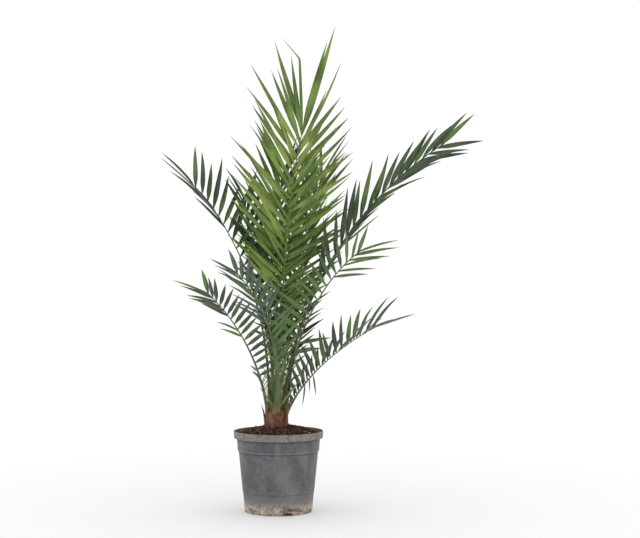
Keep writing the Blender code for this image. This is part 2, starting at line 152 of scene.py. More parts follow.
class Finish:
    # one material; what is the same all over it is set on the shader's own sockets
    def __init__(self, name, settings):
        self.material = bpy.data.materials.new(name)
        self.material.use_nodes = True
        self.tree = self.material.node_tree
        self.shader = self.tree.nodes["Principled BSDF"]
        self.fill(self.shader, settings)
        self.places = self.node("ShaderNodeTexCoord", output="Object")

    def fill(self, node, values):
        for name, value in values.items():
            if isinstance(value, Wire):
                self.tree.links.new(value.socket, node.inputs[name])
            else:
                node.inputs[name].default_value = value

    def node(self, kind, settings=None, values=None, output=0):
        made = self.tree.nodes.new(kind)
        for name, value in (settings or {}).items():
            setattr(made, name, value)
        self.fill(made, values or {})
        return Wire(self, made.outputs[output])

    def blend(self, share, first, second):
        values = {0: share, 6: first, 7: second}
        return self.node("ShaderNodeMix", dict(data_type="RGBA"), values, output=2)

    def coats(self, colour, *coats):
        # paints laid one over another, each where its share says
        for share, paint in coats:
            colour = self.blend(share, colour, paint)
        return colour

    def noise(self, scale, detail=2.0, stretch=(1, 1, 1), roughness=0.5):
        places = self.node("ShaderNodeVectorMath", dict(operation="MULTIPLY"),
                           {0: self.places, 1: stretch})
        values = {"Vector": places, "Scale": scale, "Detail": detail, "Roughness": roughness}
        return self.node("ShaderNodeTexNoise", None, values)

    def cells(self, scale):
        return self.node("ShaderNodeTexVoronoi", None, {"Vector": self.places, "Scale": scale})

    def height(self):
        return self.part(self.places, "Z")

    def part(self, vector, axis):
        return self.node("ShaderNodeSeparateXYZ", None, {0: vector}, output=axis)

    def acrossAndAlong(self):
        spread = self.node("ShaderNodeUVMap", dict(uv_map="leaf"))
        return self.part(spread, "X"), self.part(spread, "Y")

    def wear(self, colour, roughness=None, bumps=None, distance=0.001, strength=0.5):
        self.fill(self.shader, {"Base Color": colour})
        if roughness is not None:
            self.fill(self.shader, {"Roughness": roughness})
        if bumps is not None:
            values = {"Height": bumps, "Distance": distance, "Strength": strength}
            self.fill(self.shader, {"Normal": self.node("ShaderNodeBump", None, values)})
        return self.material


leafPaint = dict(
    young=dict(deep=linear(76, 106, 40), fresh=linear(118, 152, 60), pale=linear(154, 174, 106)),
    middle=dict(deep=linear(56, 80, 38), fresh=linear(90, 122, 56), pale=linear(126, 146, 96)),
    old=dict(deep=linear(50, 63, 44), fresh=linear(74, 92, 62), pale=linear(114, 128, 102)),
    bluish=dict(deep=linear(58, 72, 62), fresh=linear(86, 104, 84), pale=linear(128, 140, 124)),
    # yellow: the yellower green of young leaflets, partly a painted glow of light through them
    yellow=dict(deep=linear(94, 116, 44), fresh=linear(138, 158, 70), pale=linear(168, 180, 116)))

# what all leaves share: shares of each paint, pattern sizes, and where along the leaflet the ends start
leafWear = dict(
    shine={"Specular IOR Level": 0.45, "Coat Weight": 0.06, "Coat Roughness": 0.4},
    patches=9.0, streaks=60.0, streakShare=0.35, midrib=(0.015, 0.07), midribShare=0.45,
    foot=linear(150, 146, 74), footEnds=0.06, footShare=0.7,
    point=linear(112, 96, 66), pointFrom=(0.945, 0.995), pointShare=0.75,
    roughness=0.42, streakRoughness=0.16, ribs=75.0, ribHeight=0.0004, ribStrength=0.55)


def leafFinish(name):
    # patches of two greens, a paler midrib, fine ribs along the blade, a yellow foot and a dry point
    paint, wear = leafPaint[name], leafWear
    finish = Finish("leaf_" + name, wear["shine"])
    across, along = finish.acrossAndAlong()
    streaks = finish.noise(wear["streaks"], 2.0, (1, 1, 0.3)).rise(0.45, 0.8)
    midrib = 1 - (across - 0.5).size().rise(*wear["midrib"])
    colour = finish.coats(
        paint["deep"], (finish.noise(wear["patches"], 3.0).rise(0.36, 0.64), paint["fresh"]),
        (streaks * wear["streakShare"], paint["pale"]), (midrib * wear["midribShare"], paint["pale"]),
        ((1 - along.rise(0.0, wear["footEnds"])) * wear["footShare"], wear["foot"]),
        (along.rise(*wear["pointFrom"]) * wear["pointShare"], wear["point"]))
    ribs = (across * wear["ribs"]).sine() * 0.5 + midrib
    roughness = streaks * wear["streakRoughness"] + wear["roughness"]
    return finish.wear(colour, roughness, ribs, wear["ribHeight"], wear["ribStrength"])


# green and paler edge of each petiole, then what all of them share; heights are from the ground
petiolePaint = dict(
    young=(linear(86, 106, 52), linear(120, 136, 76)), old=(linear(70, 82, 56), linear(104, 114, 82)),
    # front: darker, partly painted shade of the leaflets crowded over the front frond's petiole
    front=(linear(66, 84, 52), linear(98, 112, 76)), spine=(linear(82, 98, 52), linear(126, 134, 78)))
petioleWear = dict(
    streaks=34.0, foot=linear(158, 122, 88), footShare=0.8, footEnds=(0.285, 0.330), footSway=0.06,
    skirt=linear(120, 76, 56), skirtEnds=(0.262, 0.292), skirtSway=0.03)


def petioleFinish(name):
    # brown and salmon at the foot, green above, with long streaks
    green, edge = petiolePaint[name]
    wear = petioleWear
    finish = Finish("petiole_" + name, {"Specular IOR Level": 0.4})
    height = finish.height()
    streaks = finish.noise(wear["streaks"], 4.0, (1, 1, 0.12))
    foot = 1 - (height + streaks * wear["footSway"]).rise(*wear["footEnds"])
    skirt = 1 - (height + streaks * wear["skirtSway"]).rise(*wear["skirtEnds"])
    colour = finish.coats(green, (streaks.rise(0.38, 0.66), edge), (foot * wear["footShare"], wear["foot"]),
                          (skirt, wear["skirt"]))
    return finish.wear(colour, streaks * 0.2 + 0.4, streaks, 0.0012, 0.4)


# dark and light of each kind of fibre
fibrePaint = dict(
    coir=(linear(120, 78, 56), linear(160, 112, 80)),
    bark_chips=(linear(96, 66, 52), linear(140, 104, 80)),
    stem_fibre=(linear(98, 62, 46), linear(142, 92, 66)),
    sleeve_fibre=(linear(84, 56, 46), linear(150, 108, 88)),
    sheath_fibre=(linear(100, 68, 54), linear(156, 114, 90)),
    dry_stub=(linear(84, 62, 54), linear(136, 112, 94)))
fibreWear = dict(threads=190.0, patches=38.0, gapShade=linear(44, 30, 24), gapShadeShare=0.5)


def fibreFinish(name):
    # patches of two browns, crossed by fine threads, with dark streaks of painted shade for the gaps between
    # them
    dark, light = fibrePaint[name]
    finish = Finish(name, {"Roughness": 0.88, "Specular IOR Level": 0.2})
    threads = finish.noise(fibreWear["threads"], 3.0, (1, 1, 0.25))
    patches = finish.noise(fibreWear["patches"], 3.0).rise(0.36, 0.66)
    gapShade = threads.rise(0.5, 0.75) * fibreWear["gapShadeShare"]
    colour = finish.coats(dark, (patches, light), (gapShade, fibreWear["gapShade"]))
    return finish.wear(colour, None, threads, 0.0014, 0.8)


# the pot's paints, each with the share of it that is laid; patterns has scale, detail, stretch and
# roughness of the grain, specks, clouds, streaks, rubs and blots; heights are above the ground
potPaint = dict(
    shine={"Specular IOR Level": 0.35, "Coat Weight": 0.04, "Coat Roughness": 0.5},
    patterns=((420.0, 3.0), (210.0, 4.0, (1, 1, 0.8), 0.7), (15.0, 6.0, (1, 1, 1), 0.66),
              (30.0, 6.0, (1, 1, 0.14), 0.66), (40.0, 6.0, (0.35, 0.35, 1.6), 0.7),
              (52.0, 6.0, (1, 1, 1), 0.72)),
    deep=linear(78, 79, 85), grey=linear(108, 108, 109), paleStreaks=(0.5, linear(128, 128, 124)),
    scuffs=(0.45, linear(134, 134, 131)), paleSpecks=(0.5, linear(138, 136, 130)),
    darkSpecks=(0.45, linear(62, 62, 66)), dust=(0.65, linear(146, 138, 128)),
    crust=(0.9, linear(204, 186, 164)), pits=(0.75, linear(88, 80, 70)), darkAtFoot=(0.8, linear(70, 60, 50)),
    # line and ledge: painted shade in the ring groove and under the shoulder's step
    # lip: painted highlight just above the step; rimShade: painted shade under the rim
    line=(0.5, linear(66, 66, 70)), ledge=(0.55, linear(58, 58, 60)), lip=(0.35, linear(140, 140, 136)),
    rim=(0.75, linear(132, 125, 117)), rimPale=(0.6, linear(168, 156, 142)),
    rimBrown=(0.65, linear(98, 82, 72)), rimShade=(0.5, linear(58, 58, 60)),
    stepShadeHeight=0.1608, stepHighlightHeight=0.1652, shadeHeight=0.1945, rimFrom=(0.1955, 0.199))


def potFinish():
    # dark grey plastic under dust: pale in a band round the foot, brownish on the rim,
    # with streaks that run down the wall, scuffs and a fine grain; painted shade in the ring groove,
    # under the shoulder's step and under the rim, and a painted highlight just above the step
    paint = potPaint
    finish = Finish("weathered_pot", paint["shine"])
    height = finish.height()
    grain, specks, clouds, streaks, rubs, blots = (finish.noise(*rule) for rule in paint["patterns"])

    def coat(name, where):
        share, colour = paint[name]
        return where * share, colour

    def lineAt(middle, core, edge):
        # 1 on a level line round the pot, and 0 away from it; it places the painted shade and highlight lines
        return 1 - (height - middle).size().rise(core, edge)
    low = 1 - (height + clouds * 0.07 + rubs * 0.03 - 0.05).rise(0.006, 0.064)
    crust = (1 - (height + blots * 0.06 - 0.03).rise(0.010, 0.040)) * blots.rise(0.42, 0.54)
    pits = (1 - (height + blots * 0.03).rise(0.020, 0.058)) * specks.rise(0.52, 0.62)
    rim = height.rise(*paint["rimFrom"])
    colour = finish.coats(
        paint["deep"], (clouds.rise(0.36, 0.66), paint["grey"]),
        coat("paleStreaks", streaks.rise(0.48, 0.74)), coat("scuffs", rubs.rise(0.56, 0.72)),
        coat("paleSpecks", specks.rise(0.56, 0.72)), coat("darkSpecks", 1 - specks.rise(0.30, 0.42)),
        coat("dust", low), coat("crust", crust), coat("pits", pits),
        # darker in patches towards the bottom
        coat("darkAtFoot", (1 - height.rise(0.016, 0.030)) * rubs.rise(0.53, 0.62)),
        # painted shade in the ring groove
        coat("line", lineAt(pot["ringHeight"], 0.0004, 0.0016)),
        # painted shade under the shoulder's step
        coat("ledge", lineAt(paint["stepShadeHeight"], 0.0006, 0.0026)),
        # painted highlight just above the shoulder's step
        coat("lip", lineAt(paint["stepHighlightHeight"], 0.0004, 0.0022)),
        coat("rim", rim), coat("rimPale", rim * specks.rise(0.5, 0.64)),
        coat("rimBrown", rim * blots.rise(0.49, 0.62)),
        coat("rimShade", lineAt(paint["shadeHeight"], 0.0005, 0.003)))
    return finish.wear(colour, clouds * 0.2 + low * 0.12 + 0.48, grain * 0.4 + blots + specks, 0.0008, 0.5)


# dark and light of each kind of soil
soilPaint = dict(
    potting_soil=(linear(64, 44, 38), linear(92, 62, 50)),
    crumb_dark=(linear(44, 31, 28), linear(70, 50, 42)),
    crumb_red=(linear(104, 60, 46), linear(136, 84, 62)),
    crumb_tan=(linear(136, 106, 82), linear(168, 138, 108)),
    moss=(linear(62, 70, 40), linear(96, 104, 62)))
soilWear = dict(crumbs=310.0, patches=60.0, gapShade=linear(40, 28, 24), gapShadeShare=0.5)


def soilFinish(name):
    # patches of two browns and small crumbs, with painted shade in the gaps between them
    dark, light = soilPaint[name]
    finish = Finish(name, {"Roughness": 0.95, "Specular IOR Level": 0.18})
    crumbs = finish.cells(soilWear["crumbs"])
    patches = finish.noise(soilWear["patches"], 5.0, roughness=0.65)
    gapShade = crumbs.rise(0.25, 0.7) * soilWear["gapShadeShare"]
    colour = finish.coats(dark, (patches.rise(0.36, 0.66), light), (gapShade, soilWear["gapShade"]))
    return finish.wear(colour, None, crumbs * -1.0 + patches, 0.002, 0.9)


def floorFinish():
    # pale near the pot, running out to the white of the room
    finish = Finish("pale_floor", {"Roughness": 0.9, "Specular IOR Level": 0.1})
    tone, white = studio["floorTone"], (1, 1, 1, 1)
    finish.wear(finish.coats((tone, tone, tone, 1), (finish.noise(90.0) * studio["floorGrain"], white)))
    distance = finish.node("ShaderNodeVectorMath", dict(operation="LENGTH"), {0: finish.places}, "Value")
    glow = finish.node("ShaderNodeEmission", None, {"Color": white, "Strength": studio["dome"]})
    surface = Wire(finish, finish.shader.outputs[0])
    mixed = finish.node("ShaderNodeMixShader", None,
                        {0: distance.rise(*studio["floorFades"]), 1: surface, 2: glow})
    finish.fill(finish.tree.nodes["Material Output"], {"Surface": mixed})
    return finish.material


# Shapes

def unit(vectors):
    return vectors / np.linalg.norm(vectors, axis=-1, keepdims=True)


def chance(key, salt):
    # a repeatable number from 0 to 1 for each key
    wave = np.sin(np.asarray(key, float) * 12.9898 + salt * 78.233) * 43758.5453
    return wave - np.floor(wave)


def drawn(span, key, salt, power=1):
    # for each key, span's first and a share of its second, which is seldom large for a high power
    return span[0] + span[1] * chance(key, salt) ** power


def fullTurn(count):
    return np.arange(count) * 2 * math.pi / count


def polar(radius, turn, height, x=0.0):
    # places round an upright line at x
    return np.stack(np.broadcast_arrays(x + radius * np.cos(turn), radius * np.sin(turn), height), -1)


def ripples(points, scale, salt, waves=14):
    # about -1 to 1: a sum of sine waves that run in spread directions, each with its own phase
    key = np.arange(waves)
    turn, rise, phase = (chance(key, salt + step) * 2 * math.pi for step in (1, 2, 3))
    heading = np.stack([np.cos(turn) * np.cos(rise), np.sin(turn) * np.cos(rise), np.sin(rise)], -1)
    pitch = scale * (0.6 + 1.6 * chance(key, salt + 4))
    return np.sin(points @ (heading * pitch[:, None]).T + phase).sum(-1) / math.sqrt(waves)


def tubeFaces(count, rows, around):
    # quads between the neighbouring rings of each tube, and one face over each of its ends
    first = np.arange(count)[:, None] * rows * around
    ring = np.arange(around)
    after = (ring + 1) % around
    low = first[..., None] + np.arange(rows - 1)[:, None] * around
    walls = np.stack([low + ring, low + after, low + around + after, low + around + ring], -1)
    feet = first + ring[::-1]
    tips = first + (rows - 1) * around + ring
    return walls.reshape(-1, 4).tolist() + feet.tolist() + tips.tolist()


def newPiece(name, points, faces, finish, crease=None, spread=None, kinds=None):
    # points and faces as one mesh, riding with the pot and the plant; kinds deals out two finishes
    mesh = bpy.data.meshes.new(name)
    mesh.from_pydata(np.asarray(points).reshape(-1, 3).tolist(), [], faces)
    for each in finish if kinds is not None else [finish]:
        mesh.materials.append(each)
    if kinds is not None:
        mesh.polygons.foreach_set("material_index", kinds.astype(np.int32))
    if spread is not None:
        corners = np.empty(len(mesh.loops), np.int32)
        mesh.loops.foreach_get("vertex_index", corners)
        layer = mesh.uv_layers.new(name="leaf")
        layer.data.foreach_set("uv", spread.reshape(-1, 2)[corners].astype(np.float32).ravel())
    if crease is not None:
        mesh.shade_smooth()
        mesh.set_sharp_from_angle(angle=math.radians(crease))
    made = addObject(name, mesh)
    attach(made, "root")
    return made


def strandPoints(foot, heading, length, radius, bend, rows=7, around=3, taper=0.9):
    # threads: each runs along its heading, bows by bend times the square of the way, and thins out
    way = np.linspace(0, 1, rows)
    middle = foot[:, None] + (heading * length[:, None])[:, None] * way[:, None]
    middle = middle + bend[:, None] * way[:, None] ** 2
    helper = np.where(np.abs(heading[:, 2:]) > 0.8, np.array([[1.0, 0, 0]]), np.array([[0, 0, 1.0]]))
    side = unit(np.cross(helper, heading))
    up = np.cross(heading, side)
    turn = fullTurn(around)
    section = side[:, None] * np.cos(turn)[:, None] + up[:, None] * np.sin(turn)[:, None]
    thick = radius[:, None] * (1 - taper * way ** 2)
    return middle[:, :, None] + section[:, None] * thick[..., None, None]


def softCorners(points, radii, steps=5):
    # an outline whose corners are rounded by curves that start a radius before each corner
    points = np.array(points, float)
    made = [points[0]]
    for before, corner, after, radius in zip(points, points[1:], points[2:], radii):
        start = corner + unit(before - corner) * radius
        end = corner + unit(after - corner) * radius
        way = np.linspace(0, 1, steps)[:, None]
        made += list(start * (1 - way) ** 2 + 2 * corner * way * (1 - way) + end * way ** 2)
    return np.array(made + [points[-1]])


def closedRings(rings, foot, peak):
    # the walls of a tube, and triangles to one point below them and one above
    rows, around = rings.shape[:2]
    ring, last = np.arange(around), (rows - 1) * around
    after = (ring + 1) % around
    under = np.stack([np.full(around, rows * around), after, ring], -1)
    over = np.stack([np.full(around, rows * around + 1), last + ring, last + after], -1)
    faces = tubeFaces(1, rows, around)[:-2] + under.tolist() + over.tolist()
    return np.vstack([rings.reshape(-1, 3), foot, peak]), faces


def turnedShape(profile, around):
    # a profile of (radius, height) carried round Z; its first and last points are on the axis
    rings = polar(profile[1:-1, :1], fullTurn(around), profile[1:-1, 1:])
    return closedRings(rings, (0, 0, profile[0, 1]), (0, 0, profile[-1, 1]))


# Pot

# rounds has the rounding of each corner, from the underside out, up, over the rim and down inside
pot = dict(
    height=0.216, rimRadius=0.120, rimBand=0.019, rimWall=0.0030, rimUndercut=0.0015, rimInset=0.0008,
    rimStep=0.0004, shoulderRadius=0.1115, shoulderTaper=0.0025, shoulderBottom=0.163,
    shoulderStep=0.0025, baseRadius=0.0905, baseRound=0.006, baseInset=0.0005, ringHeight=0.054,
    ringDepth=0.0005, wall=0.0020, floor=0.0028, sides=144, crease=32,
    rounds=(0.0068, 0.0006, 0.0006, 0.0011, 0.0011, 0.0009, 0.0014, 0.0013, 0.0009,
            0.0012, 0.0012, 0.0010, 0.0010, 0.0050),
    notches=4, notchTurn=-73.0, notchWidth=0.036, notchHeight=0.0075, notchDrop=0.001, notchSteps=21,
    notchInside=0.007, notchOutside=0.02,
    holes=6, holeRing=0.066, holeRadius=0.006, holeSides=28, holeTop=0.012, cutBelow=-0.01)


def wallRadius(height):
    # outer radius of the plain wall below the shoulder
    top = pot["shoulderRadius"] - pot["shoulderTaper"] - pot["shoulderStep"]
    rise = (height - pot["baseRound"]) / (pot["shoulderBottom"] - pot["baseRound"])
    return pot["baseRadius"] + (top - pot["baseRadius"]) * max(0.0, rise)


def potOutline():
    # the profile from the middle of the underside, round the rim and down to the middle of the floor
    band = pot["height"] - pot["rimBand"]
    shoulder = pot["shoulderRadius"] - pot["shoulderTaper"]
    step = pot["shoulderBottom"] - pot["shoulderStep"]
    line, groove, wall = pot["ringHeight"], pot["ringDepth"], pot["wall"]
    lip = pot["rimRadius"] - pot["rimWall"]
    corners = [
        (0, 0), (pot["baseRadius"] - pot["baseInset"], 0),
        (wallRadius(line) - groove, line - 2 * groove), (wallRadius(line) + groove, line),
        (wallRadius(step), step), (shoulder, pot["shoulderBottom"]),
        (pot["shoulderRadius"], band), (pot["rimRadius"] - pot["rimInset"], band + pot["rimStep"]),
        (pot["rimRadius"], pot["height"]), (lip, pot["height"]), (lip, band + pot["rimUndercut"] + wall),
        (pot["shoulderRadius"] - wall, band + wall), (shoulder - wall, pot["shoulderBottom"] + wall),
        (wallRadius(step) - wall, step - wall), (pot["baseRadius"] - wall, pot["floor"]), (0, pot["floor"])]
    return softCorners(corners, pot["rounds"])


def cutterPiece(name, outlines, spin=0.0):
    # a solid between two outlines, turned about Z
    outlines = np.array(outlines)
    turn = np.array([[math.cos(spin), -math.sin(spin), 0], [math.sin(spin), math.cos(spin), 0], [0, 0, 1]])
    mesh = bpy.data.meshes.new(name)
    mesh.from_pydata((outlines.reshape(-1, 3) @ turn.T).tolist(), [], tubeFaces(1, 2, outlines.shape[1]))
    return addObject(name, mesh)


def drainCutters():
    # arches through the foot of the wall, and round holes through the floor
    half, drop, below = pot["notchWidth"] / 2, pot["notchDrop"], pot["cutBelow"]
    arch = [(half * math.cos(a), (pot["notchHeight"] + drop) * math.sin(a) - drop)
            for a in np.linspace(0, math.pi, pot["notchSteps"])]
    arch = [(half, below), *arch, (-half, below)]
    inside = pot["baseRadius"] - pot["baseRound"] - pot["notchInside"]
    outside = pot["baseRadius"] + pot["notchOutside"]
    outlines = [[(x, across, up) for across, up in arch] for x in (inside, outside)]
    cutters = [cutterPiece("notch", outlines, math.radians(pot["notchTurn"] + k * 360 / pot["notches"]))
               for k in range(pot["notches"])]
    ring = fullTurn(pot["holeSides"])
    for k in range(pot["holes"]):
        turn = math.radians(pot["notchTurn"] / 2 + k * 360 / pot["holes"])
        middle = polar(pot["holeRing"], turn, 0.0)
        cutters.append(cutterPiece("hole", [middle + polar(pot["holeRadius"], ring, z)
                                            for z in (below, pot["holeTop"])]))
    return cutters


def makePot():
    points, faces = turnedShape(potOutline(), pot["sides"])
    piece = newPiece("nursery_pot", points, faces, potFinish(), pot["crease"])
    group = bpy.data.collections.new("drains")
    scene.collection.children.link(group)
    cutters = drainCutters()
    for cutter in cutters:
        scene.collection.objects.unlink(cutter)
        group.objects.link(cutter)
    cut = piece.modifiers.new("drains", "BOOLEAN")
    cut.operand_type = "COLLECTION"
    cut.collection = group
    graph = bpy.context.evaluated_depsgraph_get()
    mesh = bpy.data.meshes.new_from_object(piece.evaluated_get(graph))
    piece.modifiers.clear()
    piece.data = mesh
    for cutter in cutters:
        bpy.data.objects.remove(cutter, do_unlink=True)
    bpy.data.collections.remove(group)
    mesh.shade_smooth()
    mesh.set_sharp_from_angle(angle=math.radians(pot["crease"]))
    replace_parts(piece, "pot")
    print("pot:", len(mesh.polygons), "faces")


# Soil

# clods has how close the waves of each size are, their salt and their share; the insets are from
# the pot's outer radii
soil = dict(
    edge=0.2035, crown=0.2265, seat=0.034, mound=1.2, rings=46, around=150, clear=0.0004,
    rough=0.0022, clods=((260.0, 31, 0.6), (620.0, 37, 0.4)),
    floorInset=0.009, wallInset=0.0028, ledgeInset=0.0053, skirtHeights=(0.011, 0.155, 0.166, 0.197),
    stemClear=0.026, wallClear=0.0035)


def soilHeight(radius):
    # a low mound: it rises from the pot's wall to a flat seat round the stem
    edge = pot["rimRadius"] - pot["rimWall"]
    way = np.clip((edge - radius) / (edge - soil["seat"]), 0, 1)
    return soil["edge"] + (soil["crown"] - soil["edge"]) * np.sin(way * math.pi / 2) ** soil["mound"]


def onSoil(x, y):
    # places on the mound, with clods in two sizes
    places = np.stack([x, y, 0 * x], -1)
    clods = sum(ripples(places, pitch, salt) * share for pitch, salt, share in soil["clods"])
    return np.stack([x, y, soilHeight(np.hypot(x, y)) + clods * soil["rough"]], -1)


def makeSoil():
    # the mound, on a skirt that runs down inside the pot to its floor
    turn = fullTurn(soil["around"])
    edge = pot["rimRadius"] - pot["rimWall"] - soil["clear"]
    reach = edge * np.linspace(1, 0, soil["rings"], endpoint=False)[:, None]
    low, high, ledge, band = soil["skirtHeights"]
    inside = [(pot["baseRadius"] - soil["floorInset"], pot["floor"] + soil["clear"]),
              (pot["baseRadius"] - soil["wallInset"], low), (wallRadius(high) - soil["wallInset"], high),
              (pot["shoulderRadius"] - soil["ledgeInset"], ledge),
              (pot["shoulderRadius"] - soil["wallInset"], band)]
    skirt = np.array([polar(radius, turn, height) for radius, height in inside])
    rings = np.concatenate([skirt, onSoil(reach * np.cos(turn), reach * np.sin(turn))])
    points, faces = closedRings(rings, (0, 0, inside[0][1]), onSoil(np.zeros(1), np.zeros(1)))
    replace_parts(newPiece("soil_bed", points, faces, soilFinish("potting_soil"), 60), "soil")


def spreadOnSoil(count, salt):
    # places spread evenly over the soil between the stem and the pot's wall
    key = np.arange(count)
    low, edge = soil["stemClear"], pot["rimRadius"] - pot["rimWall"] - soil["wallClear"]
    radius = np.sqrt(low ** 2 + (edge ** 2 - low ** 2) * chance(key, salt))
    turn = chance(key, salt + 1) * 2 * math.pi
    return onSoil(radius * np.cos(turn), radius * np.sin(turn))


def lumps(places, sizes, salt):
    # crumbs: twenty-faced balls, stretched and dented by repeatable amounts
    golden = (1 + math.sqrt(5)) / 2
    ball = unit(np.array([(-1, golden, 0), (1, golden, 0), (-1, -golden, 0), (1, -golden, 0),
                          (0, -1, golden), (0, 1, golden), (0, -1, -golden), (0, 1, -golden),
                          (golden, 0, -1), (golden, 0, 1), (-golden, 0, -1), (-golden, 0, 1)], float))
    sides = np.array([(0, 11, 5), (0, 5, 1), (0, 1, 7), (0, 7, 10), (0, 10, 11), (1, 5, 9), (5, 11, 4),
                      (11, 10, 2), (10, 7, 6), (7, 1, 8), (3, 9, 4), (3, 4, 2), (3, 2, 6), (3, 6, 8),
                      (3, 8, 9), (4, 9, 5), (2, 4, 11), (6, 2, 10), (8, 6, 7), (9, 8, 1)])
    key = np.arange(len(places))
    stretch = np.stack([drawn((0.7, 0.7), key, salt + axis) for axis in range(3)], -1)
    dents = drawn((0.75, 0.5), key[:, None] * 12 + np.arange(12), salt + 5)
    turn = chance(key, salt + 6) * 2 * math.pi
    shape = ball * dents[..., None] * stretch[:, None] * sizes[:, None, None]
    x = shape[..., 0] * np.cos(turn)[:, None] - shape[..., 1] * np.sin(turn)[:, None]
    y = shape[..., 0] * np.sin(turn)[:, None] + shape[..., 1] * np.cos(turn)[:, None]
    points = places[:, None] + np.stack([x, y, shape[..., 2]], -1)
    faces = (sides[None] + key[:, None, None] * 12).reshape(-1, 3)
    return points, faces.tolist()


# kinds has the part of the draw that each colour of crumb takes
crumbs = dict(
    count=3400, size=0.0030, sizes=(0.16, 0.84), rarity=3.2, raised=0.25,
    kinds=dict(dark=(0.0, 0.5), red=(0.5, 0.86), tan=(0.86, 1.0)))


def makeCrumbs():
    key = np.arange(crumbs["count"])
    places = spreadOnSoil(crumbs["count"], 41)
    sizes = crumbs["size"] * drawn(crumbs["sizes"], key, 44, crumbs["rarity"])
    places[:, 2] += sizes * crumbs["raised"]
    share = chance(key, 45)
    for name, (low, high) in crumbs["kinds"].items():
        chosen = (share >= low) & (share < high)
        points, faces = lumps(places[chosen], sizes[chosen], 51)
        newPiece("crumbs_" + name, points, faces, soilFinish("crumb_" + name), 40)
    print("soil:", crumbs["count"], "crumbs")


# coir threads, a few of which stand up, and small chips of bark: all lie on the soil
litter = dict(
    coir_threads=dict(
        finish="coir", count=420, salt=61, rise=(0.25, 1.0), upright=3, size=0.011, length=(0.4, 1.0),
        sway=1.0, droop=0.35, radius=(0.00016, 0.00016), radiusSalt=68, raised=0.0, rows=7, around=3,
        taper=0.9, crease=60),
    bark_chips=dict(
        finish="bark_chips", count=46, salt=71, rise=(-0.12, 0.5), upright=1, size=1.0, length=(0.005, 0.014),
        sway=0.0, droop=0.12, radius=(0.0006, 0.0008), radiusSalt=76, raised=1.0, rows=5, around=5,
        taper=0.6, crease=40))


def makeThreads():
    # strands strewn on the soil, each turned its own way and sinking at its end
    for name, kind in litter.items():
        key, salt = np.arange(kind["count"]), kind["salt"]
        rows, around = kind["rows"], kind["around"]
        places = spreadOnSoil(kind["count"], salt)
        rise = drawn(kind["rise"], key, salt + 3, kind["upright"])
        heading = unit(polar(1.0, chance(key, salt + 2) * 2 * math.pi, rise))
        length = kind["size"] * drawn(kind["length"], key, salt + 4, 2)
        aside = [kind["sway"] * (chance(key, salt + step) - 0.5) for step in (5, 6)]
        bend = np.stack([*aside, -kind["droop"] + 0 * rise], -1) * length[:, None]
        radius = drawn(kind["radius"], key, kind["radiusSalt"])
        places[:, 2] += radius * kind["raised"]
        points = strandPoints(places, heading, length, radius, bend, rows, around, kind["taper"])
        faces = tubeFaces(kind["count"], rows, around)
        newPiece(name, points, faces, fibreFinish(kind["finish"]), kind["crease"])


moss = dict(
    count=150, tuft=25, start=-150, sweep=1.2, reach=(0.030, 0.020), spread=0.006, size=(0.0006, 0.0009))


def makeMoss():
    # small green tufts on the soil near the stem
    key = np.arange(moss["count"])
    tuft = np.floor(key / moss["tuft"])
    turn = math.radians(moss["start"]) + chance(tuft, 81) * math.pi * moss["sweep"]
    radius = drawn(moss["reach"], tuft, 82)
    x = radius * np.cos(turn) + moss["spread"] * (chance(key, 83) - 0.5)
    y = radius * np.sin(turn) + moss["spread"] * (chance(key, 84) - 0.5)
    points, faces = lumps(onSoil(x, y), drawn(moss["size"], key, 85), 86)
    newPiece("moss_tufts", points, faces, soilFinish("moss"), 40)


# Stem

stem = dict(
    x=-0.006, foot=0.2268, below=0.006, top=0.315, footRadius=0.0240, topRadius=0.0050, taper=1.6,
    rows=90, around=120, scales=6, tiers=4, tierWave=0.35, tierTurn=1.9,
    scaleDepth=0.0030, scaleCurve=1.6, scaleSunk=0.35, ridges=(120, 0.6, 91), ridgeDepth=0.0006)


def stemRadius(height):
    rise = np.clip((height - stem["foot"]) / (stem["top"] - stem["foot"]), 0, 1)
    return stem["topRadius"] + (stem["footRadius"] - stem["topRadius"]) * (1 - rise) ** stem["taper"]


def ridges(rule, turn, way):
    # long ridges on a turned surface: rule has how close they are across and along it, and a salt
    across, along, salt = rule
    return ripples(polar(across, turn, along * way), 1.0, salt)


def makeStem():
    # the stem's taper, under overlapping leaf bases: tiers of pointed scales, each proud at its top
    # edge, and long ridges of fibre
    way = np.linspace(0, 1, stem["rows"])[:, None]
    turn = fullTurn(stem["around"])[None]
    height = stem["foot"] - stem["below"] + (stem["top"] - stem["foot"] + stem["below"]) * way
    level = way * stem["tiers"]
    waves = np.abs(np.sin(turn * stem["scales"] / 2 + stem["tierTurn"] * np.floor(level)))
    tier = level + stem["tierWave"] * waves
    proud = (tier - np.floor(tier)) ** stem["scaleCurve"] - stem["scaleSunk"]
    radius = stemRadius(height) + stem["scaleDepth"] * proud * (1 - way ** 3)
    radius = radius + stem["ridgeDepth"] * ridges(stem["ridges"], turn, way)
    points = polar(radius, turn, height, stem["x"])
    faces = tubeFaces(1, stem["rows"], stem["around"])
    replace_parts(newPiece("stem_relief", points, faces, fibreFinish("stem_fibre"), 60), "stem")


# lobes has depth, count and phase; front how wide its bulge is and how far out, below and above; full
# is the height over which the radius runs its course
sleeve = dict(
    foot=0.2245, full=0.055, rows=44, around=168, radius=0.0268, belly=0.0022, narrows=0.0060,
    narrowing=1.8, lobes=((0.0014, 6, 0.8), (0.0009, 11, 2.0)), lobesFade=0.4, front=(0.62, 0.0110, 0.0140),
    height=0.038, wave=0.013, waves=(3.1, 0.4), ragged=0.007, thick=0.0022, lip=0.001,
    ridges=(90, 9, 97), ridgeDepth=0.0007)


